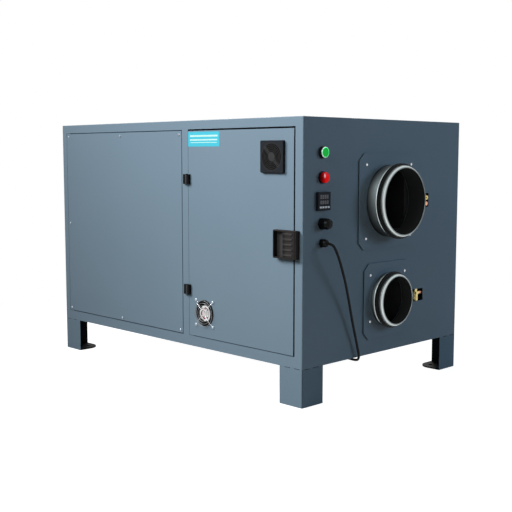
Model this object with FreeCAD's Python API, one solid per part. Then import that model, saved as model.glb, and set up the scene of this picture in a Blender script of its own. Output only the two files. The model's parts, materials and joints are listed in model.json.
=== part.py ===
"""Ducted desiccant dehumidifier in a sheet-steel cabinet on four angle legs.

Millimetres, +Z up from the floor. The door is in the long front wall, which faces -Y. The ducts and the
controls are in the end wall, which faces +X. Every shape is modelled about the cabinet's centre, and
write() then shifts it along Y, so that the origin lies under the middle of the whole object.
"""

import FreeCAD, Part
import math
import os

V = FreeCAD.Vector
X = V(1, 0, 0)
Y = V(0, 1, 0)
Z = V(0, 0, 1)

# ---------------------------------------------------------------- cabinet
cabinet_length = 1095.0
cabinet_width = 700.0
cabinet_height = 650.0
leg_height = 102.0
sheet = 2.0
corner_radius = 3.0
corner_return = 6.0
top_edge_radius = 1.5
flange_height = 22.0
top_flange_height = 18.0
seat_gap = 0.3

half_length = cabinet_length / 2
half_width = cabinet_width / 2
bottom = leg_height
top = leg_height + cabinet_height
wall_top = top - sheet
inner_x = half_length - sheet
inner_y = half_width - sheet
floor_top = bottom + sheet
front = -half_width
front_back = front + sheet

# ---------------------------------------------------------------- legs
leg_flange = 81.0
leg_thickness = 4.0
foot_thickness = 4.0
foot_corner_radius = 40.0
foot_slot_inset = 52.0
anchor_hole_radius = 6.5
weld_slot_length = 21.0
weld_slot_height = 1.4
weld_slot_ends = (8.0, 42.0)

# ---------------------------------------------------------------- screws
screw_head_radius = 3.9
screw_head_height = 2.2
screw_radius = 2.0
screw_length = 8.0
screw_hole_radius = screw_radius + 0.2

# ---------------------------------------------------------------- access panel in the front
panel_left = -half_length + 26.1
panel_right = 71.8
panel_bottom = bottom + 31.3
panel_top_margin = 27.6
panel_top = top - panel_top_margin
panel_gap = 1.2
lip_width = 17.0
lip_overlap = 6.0
panel_screw_inset = 11.5
stiffener_width = 40.0
stiffener_depth = 15.0

# ---------------------------------------------------------------- door in the front
door_left = 101.0
door_right = half_length - 31.8
door_bottom = bottom + 31.5
door_top_margin = 29.1
door_top = top - door_top_margin
door_gap_small = 1.0
door_gap_large = 4.5
door_depth = 16.0
door_rebate_depth = 22.0
door_lip_width = 14.0
door_seal_width = 11.0

# ---------------------------------------------------------------- hinges
hinge_heights = (267.4, 586.0)
hinge_height = 28.0
hinge_frame_width = 15.5
hinge_door_width = 9.8
hinge_leaf_thickness = 8.0
hinge_leaf_round = 2.0
hinge_barrel_radius = 4.2
hinge_axis_proud = 6.0
hinge_pin_radius = 1.8
pin_clearance = 0.05
knuckle_gap = 0.25
hinge_x = door_left - door_gap_small / 2
hinge_y = front - hinge_axis_proud

# ---------------------------------------------------------------- latch
latch_left = door_right - 60.7
latch_right = door_right + 21.3
latch_bottom = 388.5
latch_top = 462.0
latch_body_proud = 15.5
latch_wall = 3.0
latch_stile_relief = 0.6
paddle_proud = 16.2
paddle_left = latch_left + 35.5
paddle_thickness = 7.0
paddle_pivot_radius = 6.0
paddle_heel = 8.0
paddle_pin_radius = 2.0
paddle_gap = 0.4
paddle_ribs = 5
rib_height = 6.0
rib_proud = 2.0
rib_inset = 2.0
tongue_height = 20.0
tongue_thickness = 8.0
tongue_tip = door_right + 2.8
tongue_length = 30.0
tongue_clearance = 0.15

# ---------------------------------------------------------------- small fan in the door
fan_x = 168.0
fan_z = 204.0
fan_size = 80.0
fan_depth = 25.0
fan_hole_pitch = 71.5
fan_bore_radius = 38.0
fan_hub_radius = 23.5
fan_motor_depth = 6.0
fan_blades = 7
fan_blade_thickness = 1.4
fan_tip_gap = 1.0
fan_shaft_radius = 2.0
guard_wire = 1.7
guard_stand_off = 3.4
guard_ring_radii = (9.0, 16.0, 23.0, 30.0, 37.0)

# ---------------------------------------------------------------- fan filter grille in the door
grille_x = door_right - 73.2
grille_z = 650.3
grille_size = 84.0
grille_proud = 8.0
grille_wall = 2.5
grille_corner_radius = 4.0
grille_ring_pitch = 4.7
grille_ring_width = 2.3
grille_rings = 5
grille_disc_radius = 12.5
grille_bar_width = 2.2
grille_bar_offset = 2.6
grille_air_hole_radius = 34.0
mat_thickness = 4.0

# ---------------------------------------------------------------- duct collars in both ends
duct_y = 0.0
collar_wall = 1.2
collar_flange_width = 17.0
collar_flange_thickness = 2.0
duct_plate_thickness = 2.0
duct_plate_pad = 0.8
duct_plate_border = 17.0
duct_plate_chamfer = 20.0
bead_radius = 2.4
nose_length = 11.0
nose_drop = 6.5
seal_base = 1.6
seal_lip = 4.8
seal_length = 9.5
fit_gap = 0.4
large = {
    "outer_radius": 99.5,
    "height": 527.8,
    "mouth": 62.0,
    "bead": 37.0,
    "seal": 41.4,
    "plate_width": 260.0,
    "plate_height": 262.0,
    "screw_y": 100.5,
    "screw_z": 100.5,
    "screw_shift": 0.0,
}
small = {
    "outer_radius": 74.5,
    "height": 250.8,
    "mouth": 42.0,
    "bead": 15.5,
    "seal": 20.4,
    "plate_width": 208.0,
    "plate_height": 212.0,
    "screw_y": 78.0,
    "screw_z": 64.5,
    "screw_shift": 9.0,
}

# ---------------------------------------------------------------- controls in the right end
control_inset = 73.0
control_y = front + control_inset
button_z = 661.5
lamp_z = 597.0
controller_y = control_y - 0.5
controller_z = 536.0
blank_gland_z = 477.5
cord_gland_z = 427.0
control_barrel_radius = 10.9
control_flange_radius = 16.0
control_flange_thickness = 2.5
control_depth = 30.0
contact_block = 28.0
bezel_radius = 14.5
bezel_proud = 11.0
bezel_round = 1.6
cap_radius = 10.9
cap_bottom = 5.4
cap_stem_radius = 4.0
cap_travel = 4.0
slide_clearance = 0.1
lens_radius = 13.5
lens_proud = 15.0
lens_rise = 1.6
lens_round = 3.5
controller_size = 48.0
controller_proud = 9.0
controller_body = 44.6
controller_depth = 68.0
key_width = 7.5
key_height = 4.6
key_pitch = 10.0
key_drop = 15.5
key_proud = 0.8
key_travel = 0.5
key_depth = 3.4
blank_gland_radius = 17.0
blank_gland_proud = 31.0
cord_gland_radius = 12.3
cord_gland_proud = 20.0

# ---------------------------------------------------------------- service cut-outs in the right end
upper_port = (155.0, 195.0, 503.5, 543.7)
lower_port = (114.0, 175.7, 228.0, 264.2)
pipe_radius = 6.0
pipe_bend = 24.0
valve_inset = 36.8
valve_depth = 10.0
valve_radius = 8.0
valve_height = 28.0
valve_neck_radius = 6.2
flare_nut_radius = 8.2
flare_nut_length = 8.0
flare_cap_radius = 6.4
flare_cap_length = 6.0
flare_tip_radius = 3.0
valve_stem_radius = 2.6
valve_stem_drop = 4.0
socket_wall = 1.0
valve_neck_height = 8.0
valve_pipe_gap = 12.0
stub_radius = 5.8
stub_drop = 13.5

# ---------------------------------------------------------------- electrics bay
partition_y = -190.0
partition_x = 86.0
plate_left = 130.0
plate_right = half_length - 67.5
plate_low = 150.0
plate_high = 700.0
stand_off = 8.0
rail_heights = (330.0, 560.0)
rail_width = 35.0
rail_depth = 7.5
rail_waist = 25.0
rail_steel = 1.2
rail_inset = 10.0
device_inset = 24.0
device_gap = 14.0
breakers = {"count": 4, "width": 17.7, "pitch": 18.0, "size": (84.0, 44.0), "nose": (45.0, 66.0)}
contactors = {"count": 3, "width": 44.6, "pitch": 48.0, "size": (80.0, 56.0), "nose": (48.0, 78.0)}
supply_unit = {"count": 1, "width": 70.0, "pitch": 70.0, "size": (92.0, 56.0), "nose": (60.0, 58.0)}
terminals = {"count": 14, "width": 5.8, "pitch": 6.0, "size": (50.0, 30.0), "nose": (22.0, 38.0)}
relays = {"count": 2, "width": 27.0, "pitch": 29.0, "size": (76.0, 48.0), "nose": (34.0, 62.0)}
devices_on_rails = ((supply_unit, terminals, relays), (breakers, contactors))

# ---------------------------------------------------------------- desiccant rotor
rotor_x = -120.0
rotor_z = 430.0
rotor_radius = 225.0
rotor_thickness = 100.0
rotor_hub_radius = 30.0
axle_radius = 12.5
cassette_half_depth = 60.0
cassette_opening = 214.0
cassette_box = 240.0
spoke_width = 24.0
belt_width = 10.0
belt_thickness = 2.5
belt_gap = 0.3
pulley_radius = 20.0
pulley_offset = 205.0
pulley_width = 14.0
pulley_shaft_radius = 5.0
gearbox_half = 34.0
gearbox_length = 32.0
gearbox_round = 8.0
gear_motor_radius = 30.0
gear_motor_length = 58.0
gear_motor_cap_radius = 26.0
gear_motor_cap = 8.0
pulley_bore_depth = 20.0

# ---------------------------------------------------------------- blowers
scroll_wall = 2.0
process_blower = {
    "start_radius": 105.0,
    "step": 20.0,
    "half_width": 78.0,
    "wheel_radius": 92.0,
    "inlet_radius": 68.0,
    "x": 300.0,
    "outlet": inner_x,
    "blades": 18,
    "motor_radius": 55.0,
    "motor_length": 78.0,
}
regen_blower = {
    "start_radius": 78.0,
    "step": 14.0,
    "half_width": 55.0,
    "wheel_radius": 68.0,
    "inlet_radius": 50.0,
    "x": 330.0,
    "outlet": inner_x,
    "blades": 14,
    "motor_radius": 45.0,
    "motor_length": 60.0,
}
blower_shaft_radius = 7.0
blade_thickness = 1.6
blade_width = 26.0

# ---------------------------------------------------------------- regeneration air duct
heater_duct_half_width = 75.0
heater_duct_low = small["height"] - 78.8
heater_duct_high = small["height"] + 79.2
heater_duct_wall = 1.5
heater_flange_width = 12.0
heater_stand_insets = (100.0, 63.5)
heater_stand_sheet = 3.0
heater_stand_foot = 25.0
heater_stand_margin = 10.0
heater_rod_radius = 5.0
heater_columns = (420.0, 460.0)
heater_rows = (-45.0, -15.0, 15.0, 45.0)

# ---------------------------------------------------------------- cooling coil
coil_depth = 50.0
coil_left = -230.0
coil_right = 160.0
coil_low = 345.0
coil_high = 600.0
coil_header = 12.0
coil_bend_cover = 30.0
coil_joint_inset = 25.0
coil_joint_height = 40.0

# ---------------------------------------------------------------- power cord
cord_radius = 3.5
cord_turn_radii = (28.0, 49.0)
cord_coil_lead = 48.0
cord_plug_lead = 42.0
cord_rest_gap = 0.3
cord_coil_layers = 2
cord_run_height = bottom - 9.8
cord_run_start = half_length - 27.5
cord_clip_width = 8.0
cord_clip_room = 1.6
cord_clip_sheet = 1.4

latch_front = front - paddle_proud - rib_proud
screw_back = half_width + screw_head_height
shift_y = (-latch_front - screw_back) / 2


# ================================================================ helpers
def box(x0, x1, y0, y1, z0, z1):
    return Part.makeBox(x1 - x0, y1 - y0, z1 - z0, V(x0, y0, z0))


def rod(radius, start, direction, length):
    return Part.makeCylinder(radius, length, start, direction)


def tube(outer, inner, start, direction, length):
    return rod(outer, start, direction, length).cut(rod(inner, start, direction, length))


def prism(points, direction):
    """A solid from a closed outline of points, pushed along direction."""
    return Part.Face(Part.makePolygon(list(points) + [points[0]])).extrude(direction)


def fuse(shapes):
    first, *rest = shapes
    return first.multiFuse(rest).removeSplitter() if rest else first


def cut(shape, tools):
    return shape.cut(Part.makeCompound(list(tools))) if tools else shape


def group(shapes):
    return Part.makeCompound(list(shapes))


def round_edges(shape, radius, wanted):
    """Rounds the straight edges that wanted(edge) picks."""
    edges = [edge for edge in shape.Edges if wanted(edge)]
    return shape.makeFillet(radius, edges) if edges else shape


def along(axis):
    """A test for edges that run along an axis."""

    def test(edge):
        if not isinstance(edge.Curve, Part.Line):
            return False
        return abs(abs(edge.Curve.Direction.dot(axis)) - 1) < 1e-6

    return test


def revolve(points, centre, axis):
    """A ring from an outline of (distance along the axis, radius) points."""
    side = Z if abs(axis.dot(Z)) < 0.5 else X
    outline = [centre + axis * along_axis + side * radius for along_axis, radius in points]
    return Part.Face(Part.makePolygon(outline + [outline[0]])).revolve(centre, axis, 360)


def hexagon(radius, start, direction, length):
    side = Z if abs(direction.dot(Z)) < 0.5 else X
    other = direction.cross(side)
    corners = []
    for k in range(6):
        angle = math.radians(60 * k + 30)
        corners.append(start + side * radius * math.cos(angle) + other * radius * math.sin(angle))
    return prism(corners, direction * length)


def screw(head_seat, inward):
    """A pan-head screw, from the surface that its head sits on."""
    outward = inward * -1
    head = rod(screw_head_radius, head_seat, outward, screw_head_height * 0.5)
    crown = Part.makeCone(
        screw_head_radius, screw_head_radius * 0.65, screw_head_height * 0.5,
        head_seat + outward * screw_head_height * 0.5, outward,
    )
    return fuse([head, crown, rod(screw_radius, head_seat, inward, screw_length)])


def screw_hole(head_seat, inward):
    start = head_seat - inward * 1.0
    return rod(screw_hole_radius, start, inward, screw_length + 2.0)


def frame_ring(x0, x1, z0, z1, inside, outside, y0, y1):
    """A rectangular ring in the plane of the front wall."""
    outer = box(x0 - outside, x1 + outside, y0, y1, z0 - outside, z1 + outside)
    inner = box(x0 + inside, x1 - inside, y0 - 1, y1 + 1, z0 + inside, z1 - inside)
    return outer.cut(inner)


def to_right(shape):
    """Moves a shape that is modelled about a wall's outer face at x = 0 to the right end."""
    moved = shape.copy()
    moved.translate(V(half_length, 0, 0))
    return moved


def to_left(shape):
    moved = shape.copy()
    moved.rotate(V(0, 0, 0), Z, 180)
    moved.translate(V(-half_length, 0, 0))
    return moved


def both_ends(shape):
    return [to_right(shape), to_left(shape)]


# ================================================================ cabinet shell
def corner_ring(z0, z1):
    """An upright flange all round, just inside the cabinet's walls."""
    outer = box(-inner_x, inner_x, -inner_y, inner_y, z0, z1)
    outer = round_edges(outer, corner_radius - sheet + 0.5, along(Z))
    inner = box(-inner_x + sheet, inner_x - sheet, -inner_y + sheet, inner_y - sheet, z0 - 1, z1 + 1)
    return outer.cut(inner)


def floor_pan():
    base = box(-inner_x, inner_x, -inner_y, inner_y, bottom, floor_top)
    base = round_edges(base, corner_radius - sheet + 0.5, along(Z))
    pan = fuse([base, corner_ring(floor_top, bottom + flange_height)] + cord_clips())
    return cut(pan, [screw_hole(seat, Y * -1) for seat in back_screw_seats()])


def top_cover():
    lid = box(-half_length, half_length, -half_width, half_width, wall_top, top)
    lid = round_edges(lid, corner_radius, along(Z))
    rim = [edge for edge in lid.Edges if all(abs(v.Z - top) < 1e-6 for v in edge.Vertexes)]
    lid = lid.makeFillet(top_edge_radius, rim)
    return fuse([lid, corner_ring(wall_top - top_flange_height, wall_top)])


def end_wall():
    """An end wall about x = 0, with bent front and back returns."""

    def vertical_at(x):
        return lambda edge: along(Z)(edge) and abs(edge.Vertexes[0].X - x) < 1e-6

    outer = box(-corner_return, 0, -half_width, half_width, bottom, wall_top)
    outer = round_edges(outer, corner_radius, vertical_at(0))
    inner = box(-corner_return - 1, -sheet, -inner_y, inner_y, bottom - 1, wall_top + 1)
    inner = round_edges(inner, corner_radius - sheet, vertical_at(-sheet))
    return outer.cut(inner)


def collar_inner(size):
    return size["outer_radius"] - collar_wall


def duct_screw_seats(size):
    x = collar_flange_thickness + duct_plate_thickness
    seats = []
    for side in (-1, 1):
        for level in (-1, 1):
            z = size["height"] + size["screw_shift"] + level * size["screw_z"]
            seats.append(V(x, duct_y + side * size["screw_y"], z))
    return seats


def duct_screw_holes(size, side):
    """The holes that a part behind an end wall needs for the duct plate's screws."""
    holes = group([screw_hole(seat, X * -1) for seat in duct_screw_seats(size)])
    return to_right(holes) if side > 0 else to_left(holes)


def duct_holes():
    """The cuts that the duct collars need in an end wall."""
    cuts = []
    for size in (large, small):
        centre = V(-sheet - 1, duct_y, size["height"])
        cuts.append(rod(collar_inner(size) + fit_gap, centre, X, sheet + 2))
        cuts += [screw_hole(seat, X * -1) for seat in duct_screw_seats(size)]
    return cuts


def wall_cut(y0, y1, z0, z1):
    return box(-sheet - 1, 1, y0, y1, z0, z1)


def control_holes():
    cuts = []
    for z in (button_z, lamp_z):
        cuts.append(rod(control_barrel_radius + 0.2, V(-sheet - 1, control_y, z), X, sheet + 2))
    half = controller_body / 2 + 0.2
    cuts.append(wall_cut(controller_y - half, controller_y + half, controller_z - half, controller_z + half))
    cuts.append(rod(gland_barrel(blank_gland_radius) + 0.2, V(-sheet - 1, control_y, blank_gland_z), X, 9))
    cuts.append(rod(gland_barrel(cord_gland_radius) + 0.2, V(-sheet - 1, control_y, cord_gland_z), X, 9))
    return cuts


def end_panel_right():
    cuts = duct_holes() + control_holes() + [wall_cut(*upper_port), wall_cut(*lower_port)]
    return to_right(cut(end_wall(), cuts))


def end_panel_left():
    return to_left(cut(end_wall(), duct_holes()))


def back_screw_seats():
    across = half_length - 30
    high = wall_top - 30
    low = bottom + 12
    seats = []
    for x in (-across, -across / 3, across / 3, across):
        for z in (low, high):
            seats.append(V(x, half_width, z))
    return seats


def back_panel():
    edge = half_length - corner_return
    wall = box(-edge, edge, inner_y, half_width, bottom, wall_top)
    return cut(wall, [screw_hole(seat, Y * -1) for seat in back_screw_seats()])


def panel_screw_seats():
    """Three screws along the top and bottom edges of the access panel, and one half-way up its free side."""
    left = panel_left + panel_screw_inset
    right = panel_right - panel_screw_inset
    low = panel_bottom + panel_screw_inset * 0.75
    high = panel_top - panel_screw_inset
    middle = (low + high) / 2
    spots = [(x, z) for x in (left, (left + right) / 2, right) for z in (low, high)]
    spots.append((left, middle))
    return [V(x, front, z) for x, z in spots]


def front_frame():
    edge = half_length - corner_return
    plate = box(-edge, edge, front, front_back, bottom, wall_top)
    access = (
        panel_left - panel_gap, panel_right + panel_gap,
        panel_bottom - panel_gap, panel_top + panel_gap,
    )
    opening = (
        door_left - door_gap_small, door_right + door_gap_large,
        door_bottom - door_gap_small, door_top + door_gap_large,
    )
    plate = plate.cut(box(access[0], access[1], front - 1, front_back + 1, access[2], access[3]))
    plate = plate.cut(box(opening[0], opening[1], front - 1, front_back + 1, opening[2], opening[3]))
    access_lip = frame_ring(*access, lip_width, lip_overlap, front_back, front_back + sheet)
    rebate = frame_ring(*opening, 0, sheet, front_back, front + door_rebate_depth)
    lip_y = front + door_rebate_depth
    door_lip = frame_ring(*opening, door_lip_width, sheet, lip_y - sheet, lip_y)
    frame = fuse([plate, access_lip, rebate, door_lip])
    return cut(frame, [screw_hole(seat, Y) for seat in panel_screw_seats()])


def access_panel():
    skin = box(panel_left, panel_right, front, front_back, panel_bottom, panel_top)
    margin = lip_width + 20
    hats = []
    span = panel_right - panel_left
    for share in (1 / 3, 2 / 3):
        middle = panel_left + span * share
        hat = box(
            middle - stiffener_width / 2, middle + stiffener_width / 2,
            front_back, front_back + stiffener_depth,
            panel_bottom + margin, panel_top - margin,
        )
        hollow = box(
            middle - stiffener_width / 2 + sheet, middle + stiffener_width / 2 - sheet,
            front_back - 1, front_back + stiffener_depth - sheet,
            panel_bottom + margin - 1, panel_top - margin + 1,
        )
        hats.append(hat.cut(hollow))
    panel = fuse([skin] + hats)
    return cut(panel, [screw_hole(seat, Y) for seat in panel_screw_seats()])


def cabinet_screws():
    screws = [screw(seat, Y) for seat in panel_screw_seats()]
    screws += [screw(seat, Y * -1) for seat in back_screw_seats()]
    for size in (large, small):
        ring = group([screw(seat, X * -1) for seat in duct_screw_seats(size)])
        screws += [solid for end in both_ends(ring) for solid in end.Solids]
    return group(screws)


def leg(side_x, side_y):
    """One angle leg with its foot plate, in the cabinet corner that side_x and side_y name."""
    long_face = box(0, leg_flange, 0, leg_thickness, 0, leg_height)
    short_face = box(0, leg_thickness, 0, leg_flange, 0, leg_height)
    foot = box(0, leg_flange, 0, leg_flange, 0, foot_thickness)

    def inner_corner(edge):
        start = edge.Vertexes[0]
        return along(Z)(edge) and abs(start.X - leg_flange) < 1e-6 and abs(start.Y - leg_flange) < 1e-6

    foot = round_edges(foot, foot_corner_radius, inner_corner)
    foot = foot.cut(rod(anchor_hole_radius, V(foot_slot_inset, foot_slot_inset, -1), Z, foot_thickness + 2))
    angle = fuse([long_face, short_face, foot])

    def outer_corner(edge):
        start = edge.Vertexes[0]
        return along(Z)(edge) and abs(start.X) < 1e-6 and abs(start.Y) < 1e-6

    angle = round_edges(angle, corner_radius, outer_corner)
    slots = []
    for start in weld_slot_ends:
        z0 = leg_height - weld_slot_height
        slots.append(box(start, start + weld_slot_length, -1, leg_thickness + 1, z0, leg_height + 1))
        slots.append(box(-1, leg_thickness + 1, start, start + weld_slot_length, z0, leg_height + 1))
    angle = cut(angle, slots)
    if side_x > 0:
        angle = angle.mirror(V(0, 0, 0), X)
    if side_y > 0:
        angle = angle.mirror(V(0, 0, 0), Y)
    angle.translate(V(side_x * half_length, side_y * half_width, 0))
    return angle


# ================================================================ door, hinges and latch
def door_panel():
    skin = box(door_left, door_right, front, front_back, door_bottom, door_top)
    tray = frame_ring(door_left, door_right, door_bottom, door_top, sheet, 0, front, front + door_depth)
    cuts = [
        rod(fan_bore_radius + 0.2, V(fan_x, front - 1, fan_z), Y, sheet + 2),
        rod(grille_air_hole_radius, V(grille_x, front - 1, grille_z), Y, sheet + 2),
        latch_case(seat_gap).cut(box(0, half_length, front - 30, front - 0.01, 0, top)),
        tongue_channel(seat_gap),
    ]
    cuts += [rod(screw_hole_radius, V(x, front - 1, z), Y, sheet + 2) for x, z in fan_screw_spots()]
    return cut(fuse([skin, tray]), cuts)


def door_seal():
    lip_y = front + door_rebate_depth - sheet
    return frame_ring(
        door_left - door_gap_small + seat_gap, door_right + door_gap_large - seat_gap,
        door_bottom - door_gap_small + seat_gap, door_top + door_gap_large - seat_gap,
        door_seal_width, 0, front + door_depth + seat_gap, lip_y,
    )


def knuckle(z0, z1, side):
    """A stretch of hinge barrel with the block that joins it to its leaf."""
    barrel = rod(hinge_barrel_radius, V(hinge_x, hinge_y, z0), Z, z1 - z0)
    near = hinge_x
    far = hinge_x + side * (hinge_barrel_radius + 1.2)
    block = box(min(near, far), max(near, far), hinge_y, front - seat_gap, z0, z1)
    return barrel.fuse(block)


def hinge_leaf(middle, side):
    """Half a hinge: side -1 is on the frame with two knuckles, side 1 on the door with one."""
    low = middle - hinge_height / 2
    third = hinge_height / 3
    near = hinge_x + side * (hinge_barrel_radius + 0.6)
    far = hinge_x + side * (hinge_frame_width if side < 0 else hinge_door_width)
    face = front - hinge_leaf_thickness
    leaf = box(min(near, far), max(near, far), face, front, low, low + hinge_height)
    leaf = round_edges(
        leaf, hinge_leaf_round,
        lambda e: along(Z)(e) and (e.Vertexes[0].Point - V(far, face, e.Vertexes[0].Z)).Length < 1e-6,
    )
    if side < 0:
        spans = [(low, low + third), (low + 2 * third, low + hinge_height)]
    else:
        spans = [(low + third + knuckle_gap, low + 2 * third - knuckle_gap)]
    whole = fuse([leaf] + [knuckle(z0, z1, side) for z0, z1 in spans])
    bore = rod(hinge_pin_radius + pin_clearance, V(hinge_x, hinge_y, low - 1), Z, hinge_height + 2)
    return whole.cut(bore)


def hinge_pin(middle):
    low = middle - hinge_height / 2
    shank = rod(hinge_pin_radius, V(hinge_x, hinge_y, low), Z, hinge_height)
    head = rod(hinge_barrel_radius - 1, V(hinge_x, hinge_y, low + hinge_height), Z, 1.2)
    return shank.fuse(head)


latch_middle = (latch_bottom + latch_top) / 2
paddle_pivot_x = latch_right - latch_wall - paddle_pivot_radius - paddle_gap
paddle_pivot_y = front - paddle_proud + paddle_pivot_radius


def tongue_channel(clearance):
    """The space that the tongue slides in, grown all round by a clearance."""
    return box(
        tongue_tip - tongue_length - 8, tongue_tip + 1,
        front_back + 2 - clearance, front_back + 2 + tongue_thickness + clearance,
        latch_middle - tongue_height / 2 - clearance, latch_middle + tongue_height / 2 + clearance,
    )


def latch_case(clearance):
    """The latch's rear case, which passes through the door."""
    return box(
        tongue_tip - tongue_length - 12 - clearance, door_right - sheet - 1 + clearance,
        front - 1, front + door_depth - 2 + clearance,
        latch_middle - tongue_height / 2 - 3 - clearance, latch_middle + tongue_height / 2 + 3 + clearance,
    )


def latch_body():
    body = box(latch_left, latch_right, front - latch_body_proud, front, latch_bottom, latch_top)
    body = round_edges(body, 2.0, along(Y))
    rim = [
        edge for edge in body.Edges
        if all(abs(v.Y - (front - latch_body_proud)) < 1e-6 for v in edge.Vertexes)
    ]
    body = body.makeFillet(1.2, rim)
    pocket = box(
        latch_left + latch_wall, latch_right - latch_wall,
        front - latch_body_proud - 5, front - 2,
        latch_bottom + latch_wall, latch_top - latch_wall,
    )
    relief = box(
        door_right - 0.5, latch_right + 1, front - latch_stile_relief, front + 1,
        latch_bottom - 1, latch_top + 1,
    )
    body = body.cut(pocket).cut(relief)
    rear = latch_case(0).cut(tongue_channel(tongue_clearance))
    trunnion = rod(
        paddle_pin_radius + pin_clearance,
        V(paddle_pivot_x, paddle_pivot_y, latch_bottom + latch_wall / 2), Z,
        latch_top - latch_bottom - latch_wall,
    )
    return fuse([body, rear]).cut(trunnion)


def latch_paddle():
    """The ribbed pull, whose rounded heel turns on a pin in the latch body."""
    low = latch_bottom + latch_wall + paddle_gap
    high = latch_top - latch_wall - paddle_gap
    face = front - paddle_proud
    back = face + paddle_thickness
    pivot = V(paddle_pivot_x, paddle_pivot_y, low)
    heel_back = pivot + Y * paddle_pivot_radius
    nose = 1.5
    corners = [
        V(paddle_left + nose, face, low), V(paddle_pivot_x, face, low), heel_back,
        V(paddle_pivot_x - paddle_heel, back, low), V(paddle_left, back, low),
        V(paddle_left, face + nose, low),
    ]
    rounding = Part.Arc(corners[1], pivot + X * paddle_pivot_radius, corners[2])
    nose_middle = V(paddle_left + nose * 0.29, face + nose * 0.29, low)
    edges = [Part.LineSegment(corners[0], corners[1]).toShape(), rounding.toShape()]
    for start, end in zip(corners[2:], corners[3:]):
        edges.append(Part.LineSegment(start, end).toShape())
    edges.append(Part.Arc(corners[5], nose_middle, corners[0]).toShape())
    plate = Part.Face(Part.Wire(edges)).extrude(Z * (high - low))
    pin = rod(
        paddle_pin_radius, V(paddle_pivot_x, paddle_pivot_y, latch_bottom + latch_wall / 2 + 0.2), Z,
        latch_top - latch_bottom - latch_wall - 0.4,
    )
    pieces = [plate, pin]
    pitch = (high - low) / paddle_ribs
    for k in range(paddle_ribs):
        middle = low + pitch * (k + 0.5)
        rib = box(
            paddle_left + rib_inset, paddle_pivot_x - rib_inset, face - rib_proud, face + 1,
            middle - rib_height / 2, middle + rib_height / 2,
        )
        outer = [e for e in rib.Edges if all(abs(v.Y - face + rib_proud) < 1e-6 for v in e.Vertexes)]
        pieces.append(rib.makeFillet(rib_proud * 0.6, outer))
    return fuse(pieces)


def latch_tongue():
    """The sprung bolt, its nose bevelled so that the door slams shut."""
    y0 = front_back + 2
    y1 = y0 + tongue_thickness
    nose = tongue_tip - tongue_thickness * 0.6
    outline = [
        V(tongue_tip - tongue_length, y0, 0), V(tongue_tip, y0, 0), V(tongue_tip, y0 + 2, 0),
        V(nose, y1, 0), V(tongue_tip - tongue_length, y1, 0),
    ]
    bolt = prism(outline, Z * tongue_height)
    bolt.translate(V(0, 0, latch_middle - tongue_height / 2))
    return bolt


# ================================================================ fan and filter grille in the door
def fan_screw_spots():
    half = fan_hole_pitch / 2
    return [(fan_x + i * half, fan_z + j * half) for i in (-1, 1) for j in (-1, 1)]


def door_fan_frame():
    """Square frame with a round bore, and a motor hub carried in front on four struts."""
    half = fan_size / 2
    y0 = front_back
    frame = box(fan_x - half, fan_x + half, y0, y0 + fan_depth, fan_z - half, fan_z + half)
    frame = round_edges(frame, 5.0, along(Y))
    frame = frame.cut(rod(fan_bore_radius, V(fan_x, y0 - 1, fan_z), Y, fan_depth + 2))
    centre = V(fan_x, y0, fan_z)
    hub = rod(fan_hub_radius, centre, Y, fan_motor_depth)
    struts = []
    for k in range(4):
        strut = box(fan_hub_radius - 2, fan_bore_radius + 2, 0, 3.0, -1.6, 1.6)
        strut.rotate(V(0, 0, 0), Y, 90 * k + 20)
        strut.translate(centre + Y * 2)
        struts.append(strut)
    whole = fuse([frame, hub] + struts)
    cuts = [rod(screw_hole_radius, V(x, y0 - 1, z), Y, fan_depth + 2) for x, z in fan_screw_spots()]
    cuts.append(rod(fan_shaft_radius + pin_clearance, centre + Y * 2, Y, fan_motor_depth))
    return cut(whole, cuts)


def door_fan_impeller():
    """A hub cup with twisted blades that just clear the bore."""
    start = front_back + fan_motor_depth + 0.6
    depth = fan_depth - fan_motor_depth - 2.4
    centre = V(fan_x, start, fan_z)
    hub = rod(fan_hub_radius - 1, centre, Y, depth)
    shaft = rod(fan_shaft_radius, V(fan_x, front_back + 2.5, fan_z), Y, fan_motor_depth)
    reach = fan_bore_radius - fan_tip_gap
    sweep = rod(reach, centre, Y, depth)
    blades = []
    for k in range(fan_blades):
        blade = box(fan_hub_radius - 3, reach + 2, -11, 11, -fan_blade_thickness / 2, fan_blade_thickness / 2)
        blade.rotate(V(0, 0, 0), X, 48)
        blade.rotate(V(0, 0, 0), Y, 360 / fan_blades * k)
        blade.translate(centre + Y * depth / 2)
        blades.append(blade.common(sweep))
    return fuse([hub, shaft] + blades)


def door_fan_guard():
    """Wire rings on four arms, whose eyes are clamped under the fan's screws."""
    seat = front - guard_wire
    raised = seat - guard_stand_off
    reach = fan_hole_pitch / math.sqrt(2)
    last = guard_ring_radii[-1]
    arm_outline = [
        V(guard_ring_radii[0] - 2, raised, 0), V(last + 2, raised, 0), V(last + 6, seat, 0),
        V(reach - 3, seat, 0), V(reach - 3, front, 0), V(last + 5, front, 0),
        V(last + 1, raised + guard_wire, 0), V(guard_ring_radii[0] - 2, raised + guard_wire, 0),
    ]
    pieces = []
    for k in range(4):
        arm = prism(arm_outline, Z * guard_wire)
        eye = tube(4.2, screw_hole_radius, V(reach, seat, guard_wire / 2), Y, guard_wire)
        arm = arm.fuse(eye)
        arm.translate(V(0, 0, -guard_wire / 2))
        arm.rotate(V(0, 0, 0), Y, 45 + 90 * k)
        arm.translate(V(fan_x, 0, fan_z))
        pieces.append(arm)
    for radius in guard_ring_radii:
        ring_start = V(fan_x, raised - guard_wire + 0.4, fan_z)
        pieces.append(tube(radius + guard_wire / 2, radius - guard_wire / 2, ring_start, Y, guard_wire))
    return fuse(pieces)


def door_fan_screws():
    return group([screw(V(x, front - guard_wire, z), Y) for x, z in fan_screw_spots()])


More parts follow.
